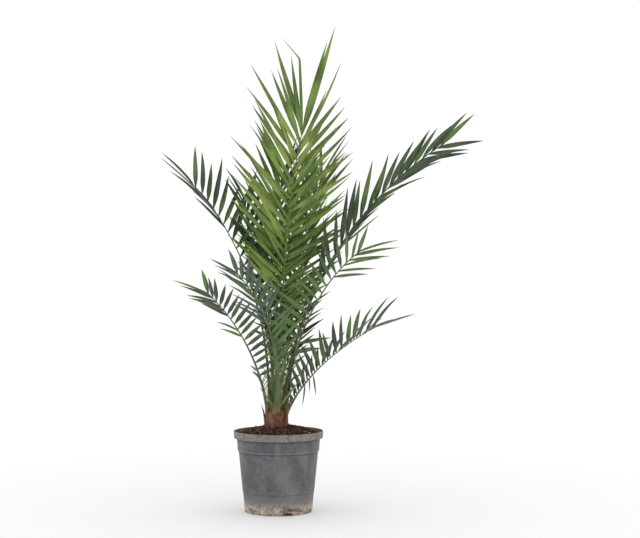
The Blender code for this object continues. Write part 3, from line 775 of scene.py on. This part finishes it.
def sleeveRadius(turn, rise):
    # the bulb under the fronds: wide and low, with lobes that fade upwards, and out over the foot of
    # the front frond
    lobes = sum(depth * np.cos(count * turn + phase) for depth, count, phase in sleeve["lobes"])
    wide, low, high = sleeve["front"]
    front = np.exp(-((np.mod(turn + math.pi / 2 + math.pi, 2 * math.pi) - math.pi) / wide) ** 2)
    plain = sleeve["radius"] + sleeve["belly"] * np.sin(np.clip(rise, 0, 1) * math.pi)
    plain = plain - sleeve["narrows"] * rise ** sleeve["narrowing"]
    return plain + lobes * (1 - sleeve["lobesFade"] * rise) + front * (low + high * rise)


def makeSleeve():
    # a ragged sleeve of sheath fibre round the feet of the fronds: each of its points reaches its own
    # height, and ridges run up it
    around, (pitch, phase) = sleeve["around"], sleeve["waves"]
    turn = fullTurn(around)[None]
    way = np.linspace(0, 1, sleeve["rows"])[:, None]
    tall = sleeve["height"] + sleeve["wave"] * np.abs(np.sin(pitch * turn + phase))
    tall = tall + sleeve["ragged"] * (2 * chance(np.arange(around)[None], 95) - 1)
    radius = sleeveRadius(turn, way * tall / sleeve["full"])
    radius = radius + sleeve["ridgeDepth"] * ridges(sleeve["ridges"], turn, way)
    outer = polar(radius, turn, sleeve["foot"] + way * tall, stem["x"])
    inner = polar(radius - sleeve["thick"], turn, sleeve["foot"] + way * (tall - sleeve["lip"]), stem["x"])
    points = np.concatenate([outer, inner[::-1]])
    faces = tubeFaces(1, len(points), around)
    newPiece("sheath_sleeve", points, faces, fibreFinish("sleeve_fibre"), 60)


mats = dict(
    count=900, low=0.226, high=0.345, lower=1.4, depth=0.002, sunk=0.35, topInset=0.004,
    slant=(0.25, 0.5), outward=0.05, length=(0.018, 0.030), wrap=0.32, inward=0.003, radius=(0.00022, 0.0002))


def makeFibreMats():
    # threads of the sheaths, wound about the feet of the fronds and crossing each other
    key = np.arange(mats["count"])
    low = mats["low"] + (mats["high"] - mats["low"]) * chance(key, 101) ** mats["lower"]
    turn = chance(key, 102) * 2 * math.pi
    rise = (low - mats["low"]) / sleeve["full"]
    radius = sleeveRadius(turn, np.minimum(rise, 1.0)) + mats["depth"] * (chance(key, 103) - mats["sunk"])
    radius = radius - mats["topInset"] * np.clip(rise - 1, 0, 1)
    outward = polar(1.0, turn, 0.0)
    aside = np.stack([-np.sin(turn), np.cos(turn), 0 * turn], -1)
    cross = np.where(chance(key, 104) < 0.5, -1, 1) * drawn(mats["slant"], key, 105)
    heading = unit(aside * cross[:, None] + np.array((0, 0, 1.0)) + outward * mats["outward"])
    length = drawn(mats["length"], key, 106)
    bend = -outward * (length * cross ** 2 * mats["wrap"] + mats["inward"])[:, None]
    foot = polar(radius, turn, low, stem["x"])
    points = strandPoints(foot, heading, length, drawn(mats["radius"], key, 107), bend)
    faces = tubeFaces(mats["count"], 7, 3)
    newPiece("sheath_threads", points, faces, fibreFinish("sheath_fibre"), 60)


# Fronds

# the rule that the solids were grown by; the keys keep the draws of rows and fronds apart
growth = dict(
    tip=0.0030, taper=2.2, flatness=0.55, frameSteps=60, ribRows=12,
    width=0.0058, widening=0.046, thickness=1 / 62, middle=0.36, rootShare=0.34,
    roughness=6.0, sag=0.06, curl=0.05, twist=20.0, air=0.0005, gap=0.0003,
    pairShift=0.22, lastWay=0.99, lastPair=0.995, liftShare=1.6, growShare=0.12,
    rowKey=50, frondKey=100, betweenKey=5000,
    turns=((0, 0), (7, 0), (-7, 0), (0, 12), (0, -12), (13, 10), (-13, -10), (20, 0), (-15, 20)))

fronds = {
    "frond_centre": dict(
        seat=None, girth=0.0100, az=45, swing=10, lean=(5.2, 23.7), bend=3.8, length=0.728,
        start=0.30, pairs=21, angle=(57, 20), ease=3.3, skew=17, lift=(7, 0),
        leaf=(0.158, 0.210, 0.310), peak=0.84, roll=64, twist=-4, sag=0.0, seed=4),
    "frond_centre_left": dict(
        seat=(188, 0.290), girth=0.0095, az=76, swing=6, lean=(9.0, 15.0), bend=1.5, length=0.640,
        start=0.34, pairs=17, angle=(56, 20), ease=1.4, skew=0, lift=(24, 8),
        leaf=(0.110, 0.185, 0.150), peak=0.50, roll=14, twist=0, seed=12),
    "frond_centre_right": dict(
        seat=(58, 0.292), girth=0.0105, az=55, swing=1, lean=(15.1, 28.5), bend=2.59, length=0.672,
        start=0.35, pairs=17, angle=(58, 24), ease=1.2, skew=0, lift=(30, 15),
        leaf=(0.110, 0.170, 0.120), peak=0.45, roll=0, twist=0, seed=5),
    "frond_right_long": dict(
        seat=(42, 0.258), girth=0.0130, az=23, swing=-22, lean=(6.6, 57.4), bend=1.03, length=0.892,
        start=0.32, pairs=20, angle=(38, 22), ease=0.60, skew=-9, lift=(62, 4),
        leaf=(0.060, 0.146, 0.115), peak=0.42, roll=34, twist=34, seed=6),
    "frond_right_middle": dict(
        seat=(-28, 0.264), girth=0.0120, az=-37, swing=-16, lean=(11.9, 67.3), bend=1.38, length=0.550,
        start=0.28, pairs=16, angle=(84, 21), ease=2.86, skew=7, lift=(31, 27),
        leaf=(0.120, 0.090, 0.115), peak=0.70, roll=-30, twist=-8, bare=((1, 0.12, 0.62),), seed=7),
    "frond_right_short": dict(
        seat=(-24, 0.234), girth=0.0110, az=-22, swing=18, lean=(0.0, 61.6), bend=0.41, length=0.376,
        start=0.12, pairs=17, angle=(66, 49), ease=3.4, skew=8, lift=(66, 15),
        leaf=(0.043, 0.096, 0.150), peak=0.65, roll=-10, twist=-6, seed=8),
    "frond_left_long": dict(
        seat=(138, 0.240), girth=0.0140, az=162, swing=8, lean=(0.0, 44.4), bend=1.33, length=0.701,
        start=0.42, pairs=16, angle=(60, 34), ease=2.3, skew=0, lift=(14, 33),
        leaf=(0.095, 0.148, 0.122), peak=0.36, roll=-18, twist=-12, bare=((1, 0.0, 0.55),), seed=1),
    "frond_left_short": dict(
        seat=(203, 0.234), girth=0.0120, az=209, swing=25, lean=(0.0, 58.4), bend=0.88, length=0.431,
        start=0.28, pairs=17, angle=(75, 22), ease=2.92, skew=-6, lift=(31, 9),
        leaf=(0.055, 0.078, 0.092), peak=0.68, roll=24, twist=-6,
        bare=((-1, 0.08, 0.37), (-1, 0.52, 0.66)), seed=3),
    "frond_front": dict(
        seat=(-90, 0.234), girth=0.0240, az=-75, swing=-61, lean=(14.6, 49.3), bend=0.68, length=0.507,
        start=0.22, pairs=18, angle=(72, 24), ease=1.5, skew=-2, lift=(45, 6),
        leaf=(0.110, 0.100, 0.088), peak=0.43, roll=21, twist=-8, bare=((-1, 0.0, 0.50),), seed=2),
    "frond_back_left": dict(
        seat=(102, 0.264), girth=0.0120, az=128, swing=0, lean=(4.5, 23.2), bend=0.91, length=0.608,
        start=0.30, pairs=16, angle=(60, 28), ease=1.2, skew=0, lift=(35, 20),
        leaf=(0.080, 0.130, 0.100), peak=0.45, roll=0, twist=0, seed=9),
    "frond_back": dict(
        seat=(80, 0.238), girth=0.0140, az=92, swing=8, lean=(6.0, 55.0), bend=1.3, length=0.640,
        start=0.30, pairs=17, angle=(66, 24), ease=1.5, skew=0, lift=(32, 14),
        leaf=(0.070, 0.120, 0.100), peak=0.45, roll=0, twist=0, seed=10),
    "frond_back_right": dict(
        seat=(9, 0.238), girth=0.0115, az=66, swing=14, lean=(5.0, 56.0), bend=0.9, length=0.430,
        start=0.24, pairs=15, angle=(70, 22), ease=1.8, skew=0, lift=(40, 16),
        leaf=(0.050, 0.090, 0.090), peak=0.55, roll=0, twist=0, seed=11),
}

# the leaflet that stands up from the tip of the centre frond and is bent over near its end
spear = dict(
    length=0.285, kink=0.72, soft=0.012, lean=(-2.0, 4.0), bent=(-40.0, 10.0), width=0.0065, widen=1.25,
    rootAt=0.985, rows=26, edge=0.35, keel=0.4)

# leaflets near the tips that are longer or shorter than the rule gives: side, from, to, share
stretched = {
    "frond_centre": ((-1, 0.93, 1.0, 1.11), (1, 0.93, 1.0, 0.88)),
    "frond_right_long": ((1, 0.93, 1.0, 1.12),),
    "frond_right_short": ((1, 0.90, 1.0, 1.30),)}

# what the finer fronds add to the solids' rule: leaflets, second tones, and ribs
finer = dict(
    rows=12, towardsFoot=1.1, crease=38, outlineAt=0.30, footShare=0.30, tipCurve=2.0, tipPower=0.9,
    tipShare=0.055, foldFoot=54.0, foldMiddle=20.0, foldTip=34.0, ribDepth=0.16, ribLeast=0.0002,
    width=0.0132, widthAt=0.10, widthPower=0.45, slim=0.84, longer=1.03,
    twist=(16.0, 40.0), twistFoot=0.35, bow=0.035, bowSunk=0.3,
    between=0.55, betweenLength=0.88, betweenAngle=0.70,
    # secondAbove: high on the centre frond more leaflets take its yellow second finish, partly a painted glow
    secondTone=0.72, secondBelow={"frond_front": 0.45}, secondAbove={"frond_centre": 0.70},
    secondAboveTone=0.30,
    ribRows=44, ribRound=14, ribTowardsFoot=1.25, footBelow=0.030, centreBelow=0.02, footRows=6,
    footFlare=0.35, flareFades=0.022, channel=(0.85, 1.1), clasp=0.022, claspFades=0.03)

# short young leaflets low on the petioles: how many on each, where along the leaflets' length, and spans
inner = dict(
    count={"frond_centre": 34, "frond_centre_left": 22, "frond_centre_right": 24, "frond_front": 30},
    way=(-0.34, 0.02), angle=(10, 42), lift=(-20, 85), length=(0.045, 0.115), turn=60, slim=0.66, key=9000)

# broken leaflets below one frond: where on its rib, how long, how far aside
hanging = dict(
    frond="frond_right_short", lays=((0.42, 0.058, 0.14), (0.33, 0.060, -0.12), (0.38, 0.036, 0.02)),
    forward=-0.12, across=(1.0, 0.35, 0.0), slim=0.50, key=9900)

# spines in pairs on each petiole; along and radius have a first value and what is added on the way up
spines = dict(
    pairs=10, along=(0.42, 0.56), sway=0.3, length=(0.014, 0.050), vary=(0.8, 0.4), angle=52,
    angleFalls=12, angleSway=10, lift=(35, 30), radius=(0.0007, 0.0006), inset=0.35, bend=0.1,
    rows=6, around=4, taper=0.93, frondKey=40)

# the main and the second finish of each frond's leaflets; yellow is partly a painted glow of light through
# the leaflets
dress = {
    "frond_centre": ("young", "yellow"), "frond_centre_left": ("young", "middle"),
    "frond_centre_right": ("young", "yellow"), "frond_right_long": ("old", "middle"),
    "frond_right_middle": ("middle", "old"), "frond_right_short": ("old", "middle"),
    "frond_left_long": ("old", "middle"), "frond_left_short": ("old", "middle"),
    "frond_front": ("bluish", "middle"), "frond_back_left": ("old", "middle"),
    "frond_back": ("old", "middle"), "frond_back_right": ("old", "middle")}

# the petiole's finish for each material slot, and the slot of each node
petioles = dict(leaf_young="young", leaf_old="old", leaf_bluish="front")
slots = {node["node"]: node["material_slot"] for node in frame["record"]["subparts"]}
youngFronds = [name for name in fronds if slots[name] == "leaf_young"]


def turned(first, second, angle):
    # two directions at a right angle, turned in their own plane
    return (first * np.cos(angle) + second * np.sin(angle), second * np.cos(angle) - first * np.sin(angle))


def seatPoint(frond):
    # the middle of the foot: beside the stem at the seat, or on top of it for the centre frond
    if frond["seat"] is None:
        tilt = frond["girth"] / 2 * math.sin(math.radians(frond["lean"][0]))
        return np.array((stem["x"], 0.0, stem["top"] + growth["gap"] + tilt))
    angle, height = math.radians(frond["seat"][0]), frond["seat"][1]
    turn = math.radians(frond["az"]) - angle
    half = frond["girth"] / 2
    reach = math.hypot(half * math.sin(turn), half * growth["flatness"] * math.cos(turn))
    radius = float(stemRadius(height)) + reach + growth["gap"]
    return np.array((stem["x"] + radius * math.cos(angle), radius * math.sin(angle), height))


def ribLine(frond):
    # each step follows the lean and the azimuth that the rib has reached
    steps = growth["frameSteps"]
    way = (np.arange(steps) + 0.5) / steps
    lean = np.radians(frond["lean"][0] + (frond["lean"][1] - frond["lean"][0]) * way ** frond["bend"])
    azimuth = np.radians(frond["az"] + frond["swing"] * way)
    step = np.stack([np.sin(lean) * np.cos(azimuth), np.sin(lean) * np.sin(azimuth), np.cos(lean)], -1)
    return seatPoint(frond) + np.vstack([np.zeros((1, 3)), np.cumsum(step, axis=0) * frond["length"] / steps])


def ribFrame(frond, u):
    # place, direction, side and upper face at fractions u of the rib
    line = ribLine(frond)
    along = np.linspace(0, 1, len(line))
    tangents = unit(np.gradient(line, axis=0))
    place = np.stack([np.interp(u, along, line[:, axis]) for axis in range(3)], -1)
    ahead = unit(np.stack([np.interp(u, along, tangents[:, axis]) for axis in range(3)], -1))
    azimuth = np.radians(frond["az"] + frond["swing"] * u)
    side = np.stack([-np.sin(azimuth), np.cos(azimuth), 0 * azimuth], -1)
    side = unit(side - (side * ahead).sum(-1, keepdims=True) * ahead)
    face = np.cross(ahead, side)
    roll = np.radians(frond["roll"] + frond["twist"] * u) * np.clip(u / frond["start"], 0, 1)
    return place, ahead, *turned(side, face, roll[..., None])


def ribWidth(frond, u):
    return growth["tip"] + (frond["girth"] - growth["tip"]) * (1 - np.clip(u, 0, 1)) ** growth["taper"]


def missing(frond, side, way):
    return any(side == row and low < way < high for row, low, high in frond.get("bare", ()))


def leafletSeeds(frond, between=False):
    # the leaflets of both rows, with the sways of each; between gives the finer fronds' own, which
    # stand between some pairs and point more along the rib
    seeds = []
    for side in (-1, 1):
        pair = np.arange(frond["pairs"])
        way = (pair + 0.5 + growth["pairShift"] * side + (0.5 if between else 0)) / frond["pairs"]
        key = pair + (growth["rowKey"] if side > 0 else 0) + frond["seed"] * growth["frondKey"]
        key = key + (growth["betweenKey"] if between else 0)
        sway, lifted, grow, turn = (2 * chance(key, salt) - 1 for salt in (1, 2, 3, 4))
        low, high = frond["angle"]
        angle = low + (high - low) * np.clip(way, 0, 1) ** frond["ease"]
        angle = angle + side * frond["skew"] * way ** 3 + sway * growth["roughness"]
        low, high = frond["lift"]
        lift = low + (high - low) * way
        lift = lift + growth["liftShare"] * lifted * growth["roughness"]
        first, longest, last = frond["leaf"]
        peak = frond["peak"]
        growing = first + (longest - first) * np.sin(np.minimum(way / peak, 1) * math.pi / 2)
        fading = np.cos(np.clip((way - peak) / (1 - peak), 0, 1) * math.pi / 2)
        length = np.where(way < peak, growing, last + (longest - last) * fading)
        length = length * (1 + growth["growShare"] * grow)
        if between:
            angle, length = angle * finer["betweenAngle"], length * finer["betweenLength"]
        kept = (way < growth["lastWay"]) & ((chance(key, 5) < finer["between"]) | (not between))
        for k in np.flatnonzero(kept):
            if not missing(frond, side, way[k]):
                seeds.append(dict(side=side, way=way[k], angle=angle[k], lift=lift[k], key=key[k],
                                  length=length[k], turn=turn[k] * growth["twist"]))
    return sorted(seeds, key=lambda seed: seed["way"])


def leafletLay(frond, seed, turns=(0, 0)):
    # where one leaflet starts, its own three directions, and how far its tip hangs
    u = np.array([frond["start"] + (growth["lastPair"] - frond["start"]) * seed["way"]])
    place, ahead, side, face = (value[0] for value in ribFrame(frond, u))
    angle = math.radians(seed["angle"] + turns[0])
    lift = math.radians(seed["lift"] + turns[1])
    out = seed["side"] * side * math.cos(lift) + face * math.sin(lift)
    along = ahead * math.cos(angle) + out * math.sin(angle)
    across = unit(ahead - (ahead @ along) * along)
    upper = np.cross(along, across)
    across, upper = turned(across, upper, math.radians(seed["turn"]))
    length = seed["length"]
    droop = np.array((0, 0, -1)) * frond.get("sag", growth["sag"]) * length + ahead * growth["curl"] * length
    return dict(place=place, along=along, across=across, upper=upper, droop=droop, length=length,
                side=seed["side"], key=seed["key"], way=seed["way"],
                width=growth["width"] + growth["widening"] * length)


def plainBlade(lay, air=0.0):
    # the solids' own leaflet: a three-sided root, the widest section and a point
    keel = lay["length"] * growth["thickness"] + air
    half = lay["width"] / 2 + air
    section = np.array([lay["across"] * half + lay["upper"] * keel / 3,
                        -lay["across"] * half + lay["upper"] * keel / 3, -lay["upper"] * keel * 2 / 3])
    middle = lay["place"] + lay["along"] * lay["length"] * growth["middle"]
    tip = lay["place"] + lay["along"] * (lay["length"] + air) + lay["droop"]
    points = np.vstack([lay["place"] + section * growth["rootShare"], middle + section, tip])
    faces = [(0, 2, 1), (0, 1, 4, 3), (3, 4, 6), (1, 2, 5, 4), (4, 5, 6), (2, 0, 3, 5), (5, 3, 6)]
    return points, faces


def plainRib(frond):
    # the solids' own rib: six flat sides
    u = np.linspace(0, 1, growth["ribRows"])
    place, _, side, face = ribFrame(frond, u)
    half = (ribWidth(frond, u) / 2)[:, None, None]
    turn = np.arange(6) * math.pi / 3
    ring = side[:, None] * np.cos(turn)[:, None] + face[:, None] * np.sin(turn)[:, None] * growth["flatness"]
    return (place[:, None] + half * ring).reshape(-1, 3), tubeFaces(1, len(u), 6)


def treeOf(shapes):
    # a search tree over shapes of points and faces, for finding what touches
    points, faces = [], []
    for shapePoints, shapeFaces in shapes:
        faces += [tuple(len(points) + index for index in face) for face in shapeFaces]
        points += shapePoints.tolist()
    return BVHTree.FromPolygons(points, faces)


def clearLay(frond, seed, others):
    # the first of the allowed turns at which the leaflet touches no other frond
    for turns in growth["turns"]:
        lay = leafletLay(frond, seed, turns)
        wide = treeOf([plainBlade(lay, growth["air"])])
        if not any(wide.overlap(other) for other in others):
            return lay
    return None


def growFronds():
    # one frond after another, as in the solids, each leaflet clear of the other fronds; then the
    # young fronds' own leaflets between the pairs
    ribs = {name: plainRib(frond) for name, frond in fronds.items()}
    trees = {name: treeOf([rib]) for name, rib in ribs.items()}
    grown = {name: [] for name in fronds}
    for name, between in [(name, False) for name in fronds] + [(name, True) for name in youngFronds]:
        others = [tree for other, tree in trees.items() if other != name]
        lays = [clearLay(fronds[name], seed, others) for seed in leafletSeeds(fronds[name], between)]
        grown[name] += [lay for lay in lays if lay]
        trees[name] = treeOf([ribs[name]] + [plainBlade(lay) for lay in grown[name]])
    return grown


def rising(way):
    # 0 at the foot of a leaflet, 1 from its widest part on
    return np.sin(np.minimum(way / finer["outlineAt"], 1) * math.pi / 2)


def past(way):
    # 0 up to the widest part of a leaflet, 1 at its tip
    return np.clip((way - finer["outlineAt"]) / (1 - finer["outlineAt"]), 0, 1)


def bladeOutline(way):
    # half width along a leaflet: it widens quickly from its foot, then narrows to a long point
    wide = finer["footShare"] + (1 - finer["footShare"]) * rising(way)
    fading = (1 - past(way) ** finer["tipCurve"]) ** finer["tipPower"]
    return np.maximum(wide * fading, finer["tipShare"])


def bladeFold(way):
    # how far each half is folded up, in radians: most at the foot, least near the widest part
    low = finer["foldFoot"] + (finer["foldMiddle"] - finer["foldFoot"]) * rising(way)
    return np.radians(low + (finer["foldTip"] - finer["foldMiddle"]) * past(way))


def bladeWidth(length, young):
    # real leaflets: the width grows more slowly than the length, and young ones are slimmer
    width = finer["width"] * (length / finer["widthAt"]) ** finer["widthPower"]
    return width * (finer["slim"] if young else 1)


def bladeSpread(way):
    # texture places on the four sides of each ring: across a leaflet, and along it
    return np.stack(np.broadcast_arrays(np.array((0.0, 0.5, 1.0, 0.5)), way[..., None]), -1)


def bladeShape(lays, young, slim=1.0):
    # a ring of edge, groove, edge and keel, carried along each drooping and slowly twisting leaflet
    def column(name):
        return np.array([lay[name] for lay in lays])
    way = np.linspace(0, 1, finer["rows"]) ** finer["towardsFoot"]
    place, along, across, upper, droop = (column(name)[:, None] for name in
                                          ("place", "along", "across", "upper", "droop"))
    flip = -column("side")[:, None, None]
    length = column("length")[:, None, None]
    half = (bladeWidth(column("length"), young) * slim / 2)[:, None, None] * bladeOutline(way)[:, None]
    turn = np.radians(finer["twist"][young] * (2 * chance(column("key"), 6) - 1))[:, None, None]
    turn = turn * (finer["twistFoot"] + (1 - finer["twistFoot"]) * way[:, None])
    across, upper = across * flip, upper * flip
    across, upper = turned(across, upper, turn)
    bow = length * finer["bow"] * (chance(column("key"), 7) - finer["bowSunk"])[:, None, None]
    bow = bow * np.sin(way * math.pi)[:, None]
    line = place + along * length * way[:, None] + droop * way[:, None] ** 2 + upper * bow
    fold = bladeFold(way)[:, None]
    reach = across * half * np.cos(fold)
    raised = upper * half * np.sin(fold)
    keel = upper * (half * finer["ribDepth"] + finer["ribLeast"])
    points = np.stack([line + reach + raised, line, line - reach + raised, line - keel], 2)
    return points, tubeFaces(len(lays), len(way), 4), bladeSpread(np.tile(way, (len(lays), 1)))


def spearShape():
    # two straight lengths with a short bend between them
    frond = fronds["frond_centre"]
    root = ribFrame(frond, np.array([spear["rootAt"]]))[0][0]

    def leaning(lean):
        return unit(np.array((math.tan(math.radians(lean[0])), math.tan(math.radians(lean[1])), 1.0)))
    low, high = leaning(spear["lean"]), leaning(spear["bent"])
    way = np.linspace(0, 1, spear["rows"])[:, None]
    after = way - spear["kink"]
    soft = 0.5 * (after + np.sqrt(after ** 2 + spear["soft"] ** 2))
    line = root + (low * (way - soft) + high * soft) * spear["length"]
    half = spear["width"] / 2 * bladeOutline(way) * spear["widen"]
    side, front = np.array((1.0, 0, 0)), np.array((0, 1.0, 0))
    edge = front * half * spear["edge"]
    keel = front * half * spear["keel"]
    points = np.stack([line + side * half - edge, line, line - side * half - edge, line + keel], 1)
    return points, tubeFaces(1, len(way), 4), bladeSpread(way[:, 0])


def ribShape(frond):
    # a half-round rib with a channel on its upper face, which closes towards the tip; the foot
    # widens, clasps the stem and runs on below its seat
    seated = frond["seat"] is not None
    below = finer["footBelow"] / frond["length"] if seated else finer["centreBelow"]
    u = np.concatenate([np.linspace(-below, 0, finer["footRows"])[:-1],
                        np.linspace(0, 1, finer["ribRows"]) ** finer["ribTowardsFoot"]])
    place, ahead, side, face = ribFrame(frond, u)
    place = place + ahead * np.minimum(u, 0)[:, None] * frond["length"]
    distance = np.maximum(u, 0) * frond["length"]
    flare = 1 + finer["footFlare"] * np.exp(-(distance / finer["flareFades"]) ** 2)
    half = (ribWidth(frond, u) / 2 * flare)[:, None]
    turn = fullTurn(finer["ribRound"])
    deep, closing = finer["channel"]
    channel = (deep - closing * np.clip(u / frond["start"], 0, 1))[:, None]
    x = np.cos(turn) * half
    y = growth["flatness"] * np.sin(turn) * (1 - channel * np.clip(np.sin(turn), 0, 1) ** 2) * half
    if seated:
        y = y + x ** 2 / (2 * finer["clasp"]) * np.exp(-distance / finer["claspFades"])[:, None]
    points = place[:, None] + side[:, None] * x[..., None] + face[:, None] * y[..., None]
    return points, tubeFaces(1, len(u), finer["ribRound"])


def spinePoints(frond):
    # stiff spines in pairs on the petiole, longer towards the leaflets
    count = spines["pairs"] * 2
    key = np.arange(count) + frond["seed"] * spines["frondKey"]
    step = np.arange(count) // 2
    side = np.where(np.arange(count) % 2, 1, -1)
    way = (step + 0.5 + spines["sway"] * chance(key, 111)) / spines["pairs"]
    u = frond["start"] * (spines["along"][0] + spines["along"][1] * way)
    place, ahead, across, face = ribFrame(frond, u)
    sway = spines["angleSway"] * (chance(key, 112) - 0.5)
    angle = np.radians(spines["angle"] - spines["angleFalls"] * way + sway)[:, None]
    lift = np.radians(drawn(spines["lift"], key, 113))[:, None]
    out = across * side[:, None] * np.cos(lift) + face * np.sin(lift)
    heading = ahead * np.cos(angle) + out * np.sin(angle)
    low, high = spines["length"]
    length = (low + (high - low) * way) * drawn(spines["vary"], key, 114)
    radius = spines["radius"][0] + spines["radius"][1] * way
    foot = place + across * (side * ribWidth(frond, u) * spines["inset"])[:, None]
    bend = ahead * spines["bend"] * length[:, None]
    return strandPoints(foot, heading, length, radius, bend,
                        spines["rows"], spines["around"], spines["taper"])


def innerLays(name):
    # each inner leaflet is turned its own way
    frond, count = fronds[name], inner["count"][name]
    key = inner["key"] + growth["frondKey"] * frond["seed"] + np.arange(count)

    def spreadOver(part, salt):
        low, high = inner[part]
        return low + (high - low) * chance(key, salt)
    low, high = inner["way"]
    way = low + (high - low) * (np.arange(count) + chance(key, 131)) / count
    angle, lift, length = spreadOver("angle", 132), spreadOver("lift", 133), spreadOver("length", 134)
    turn = inner["turn"] * (chance(key, 135) - 0.5)
    return [leafletLay(frond, dict(side=1 if k % 2 else -1, way=way[k], angle=angle[k], lift=lift[k],
                                   key=key[k], length=length[k], turn=turn[k])) for k in range(count)]


def hangingLays():
    # each hangs straight down from its place on the rib, apart from its lean aside and forward
    lays = []
    for k, (u, length, aside) in enumerate(hanging["lays"]):
        place = ribFrame(fronds[hanging["frond"]], np.array([u]))[0][0]
        along = unit(np.array((aside, hanging["forward"], -1.0)))
        across = np.array(hanging["across"])
        across = unit(across - along * (across @ along))
        lays.append(dict(place=place, along=along, across=across, upper=np.cross(along, across), side=-1,
                         droop=np.zeros(3), length=length, key=hanging["key"] + k))
    return lays


def stretch(name, lay):
    # how much longer than its solid one leaflet is
    fits = [share for row, low, high, share in stretched.get(name, ())
            if row == lay["side"] and low < lay["way"] < high]
    return fits[0] if fits else finer["longer"]


def secondTones(name, lays):
    # 1 for the leaflets in a frond's second finish: some by chance, all that are low enough, and more
    # of those that are high
    share = chance(np.array([lay["key"] for lay in lays]), 8)
    way = np.array([lay["way"] for lay in lays])
    low = way < finer["secondBelow"].get(name, 0)
    high = (way > finer["secondAbove"].get(name, 1)) & (share > finer["secondAboveTone"])
    return ((share > finer["secondTone"]) | low | high).astype(int)


def layLeaflets(name, lays, finish, slot, slim=1.0, kinds=None):
    # kinds deals out two finishes to whole leaflets: their faces come as walls, then feet, then tips
    points, faces, spread = bladeShape(lays, slot == "leaf_young", slim)
    if kinds is not None:
        kinds = np.concatenate([np.repeat(kinds, (finer["rows"] - 1) * 4), kinds, kinds])
    newPiece(name, points, faces, finish, finer["crease"], spread, kinds)


def makeFronds():
    finishes = {name: leafFinish(name) for name in leafPaint}
    ribFinishes = {slot: petioleFinish(name) for slot, name in petioles.items()}
    leaflets = 0
    for name, lays in growFronds().items():
        slot = slots[name]
        points, faces = ribShape(fronds[name])
        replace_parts(newPiece(name + "_rib", points, faces, ribFinishes[slot], 50), name)
        for lay in lays:
            lay["length"] *= stretch(name, lay)
        both = [finishes[kind] for kind in dress[name]]
        layLeaflets(name + "_leaflets", lays, both, slot, kinds=secondTones(name, lays))
        leaflets += len(lays)
    lays = [lay for name in inner["count"] for lay in innerLays(name)]
    # half the inner leaflets are yellow, partly a painted glow of light through them
    kinds = (chance(np.array([lay["key"] for lay in lays]), 9) > 0.5).astype(int)
    both = [finishes["yellow"], finishes["middle"]]
    layLeaflets("inner_leaflets", lays, both, "leaf_young", inner["slim"], kinds)
    layLeaflets("hanging_leaflets", hangingLays(), finishes["old"], "leaf_old", hanging["slim"])
    strands = np.concatenate([spinePoints(frond) for frond in fronds.values()])
    faces = tubeFaces(len(strands), spines["rows"], spines["around"])
    newPiece("petiole_spines", strands, faces, petioleFinish("spine"), 60)
    points, faces, spread = spearShape()
    newPiece("frond_centre_bent_leaflet", points, faces, finishes["young"],
             finer["crease"], spread)
    print("fronds:", len(fronds), "with", leaflets, "leaflets")


# Dry stub

stub = dict(
    seat=(172, 0.232), out=0.0080, curl=0.007, length=0.058, width=0.0165, lean=5.0, rows=26, around=10,
    below=0.1, ragged=0.22, full=1.05, narrowing=1.4, least=0.06, waves=(0.004, 9.0), aside=0.010,
    thick=0.28, cupped=40.0)


def makeStub():
    # a flat dry strap that narrows, curls and ends in a ragged point
    angle, lean = math.radians(stub["seat"][0]), math.radians(stub["lean"])
    outward = np.array((math.cos(angle), math.sin(angle), 0.0))
    sideways = np.array((-math.sin(angle), math.cos(angle), 0.0))
    rise = outward * math.sin(lean) + np.array((0, 0, 1)) * math.cos(lean)
    inward = np.cross(rise, sideways)
    radius = float(stemRadius(stub["seat"][1])) + stub["out"]
    foot = np.array((stem["x"], 0, stub["seat"][1])) + outward * radius
    way = np.linspace(-stub["below"], 1, stub["rows"])[:, None]
    ragged = 1 + stub["ragged"] * (2 * chance(np.arange(stub["rows"])[:, None], 121) - 1)
    narrow = np.clip(stub["full"] - np.abs(way) ** stub["narrowing"], stub["least"], 1)
    half = stub["width"] / 2 * narrow * ragged
    turn = fullTurn(stub["around"])
    wave, pitch = stub["waves"]
    curl = wave * np.sin(way * pitch) - stub["aside"] * way ** 2
    x = half * np.cos(turn)
    y = half * stub["thick"] * np.sin(turn) + x ** 2 * stub["cupped"]
    line = foot + rise * stub["length"] * way + outward * stub["curl"] * way ** 2 + sideways * curl * 0.5
    points = line[:, None] + sideways * x[..., None] + inward * y[..., None]
    faces = tubeFaces(1, stub["rows"], stub["around"])
    piece = newPiece("dry_stub", points, faces, fibreFinish("dry_stub"), 50)
    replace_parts(piece, "dry_frond_stub")


def makeFloor():
    mesh = bpy.data.meshes.new("floor")
    ring = polar(studio["floorRadius"], fullTurn(studio["floorSides"]), 0.0)
    mesh.from_pydata(ring.tolist(), [], [list(range(len(ring)))])
    mesh.materials.append(floorFinish())
    addObject("floor", mesh)


makeCamera()
makeLight()
makeFloor()
makePot()
makeSoil()
makeCrumbs()
makeThreads()
makeMoss()
makeStem()
makeSleeve()
makeFibreMats()
makeStub()
makeFronds()
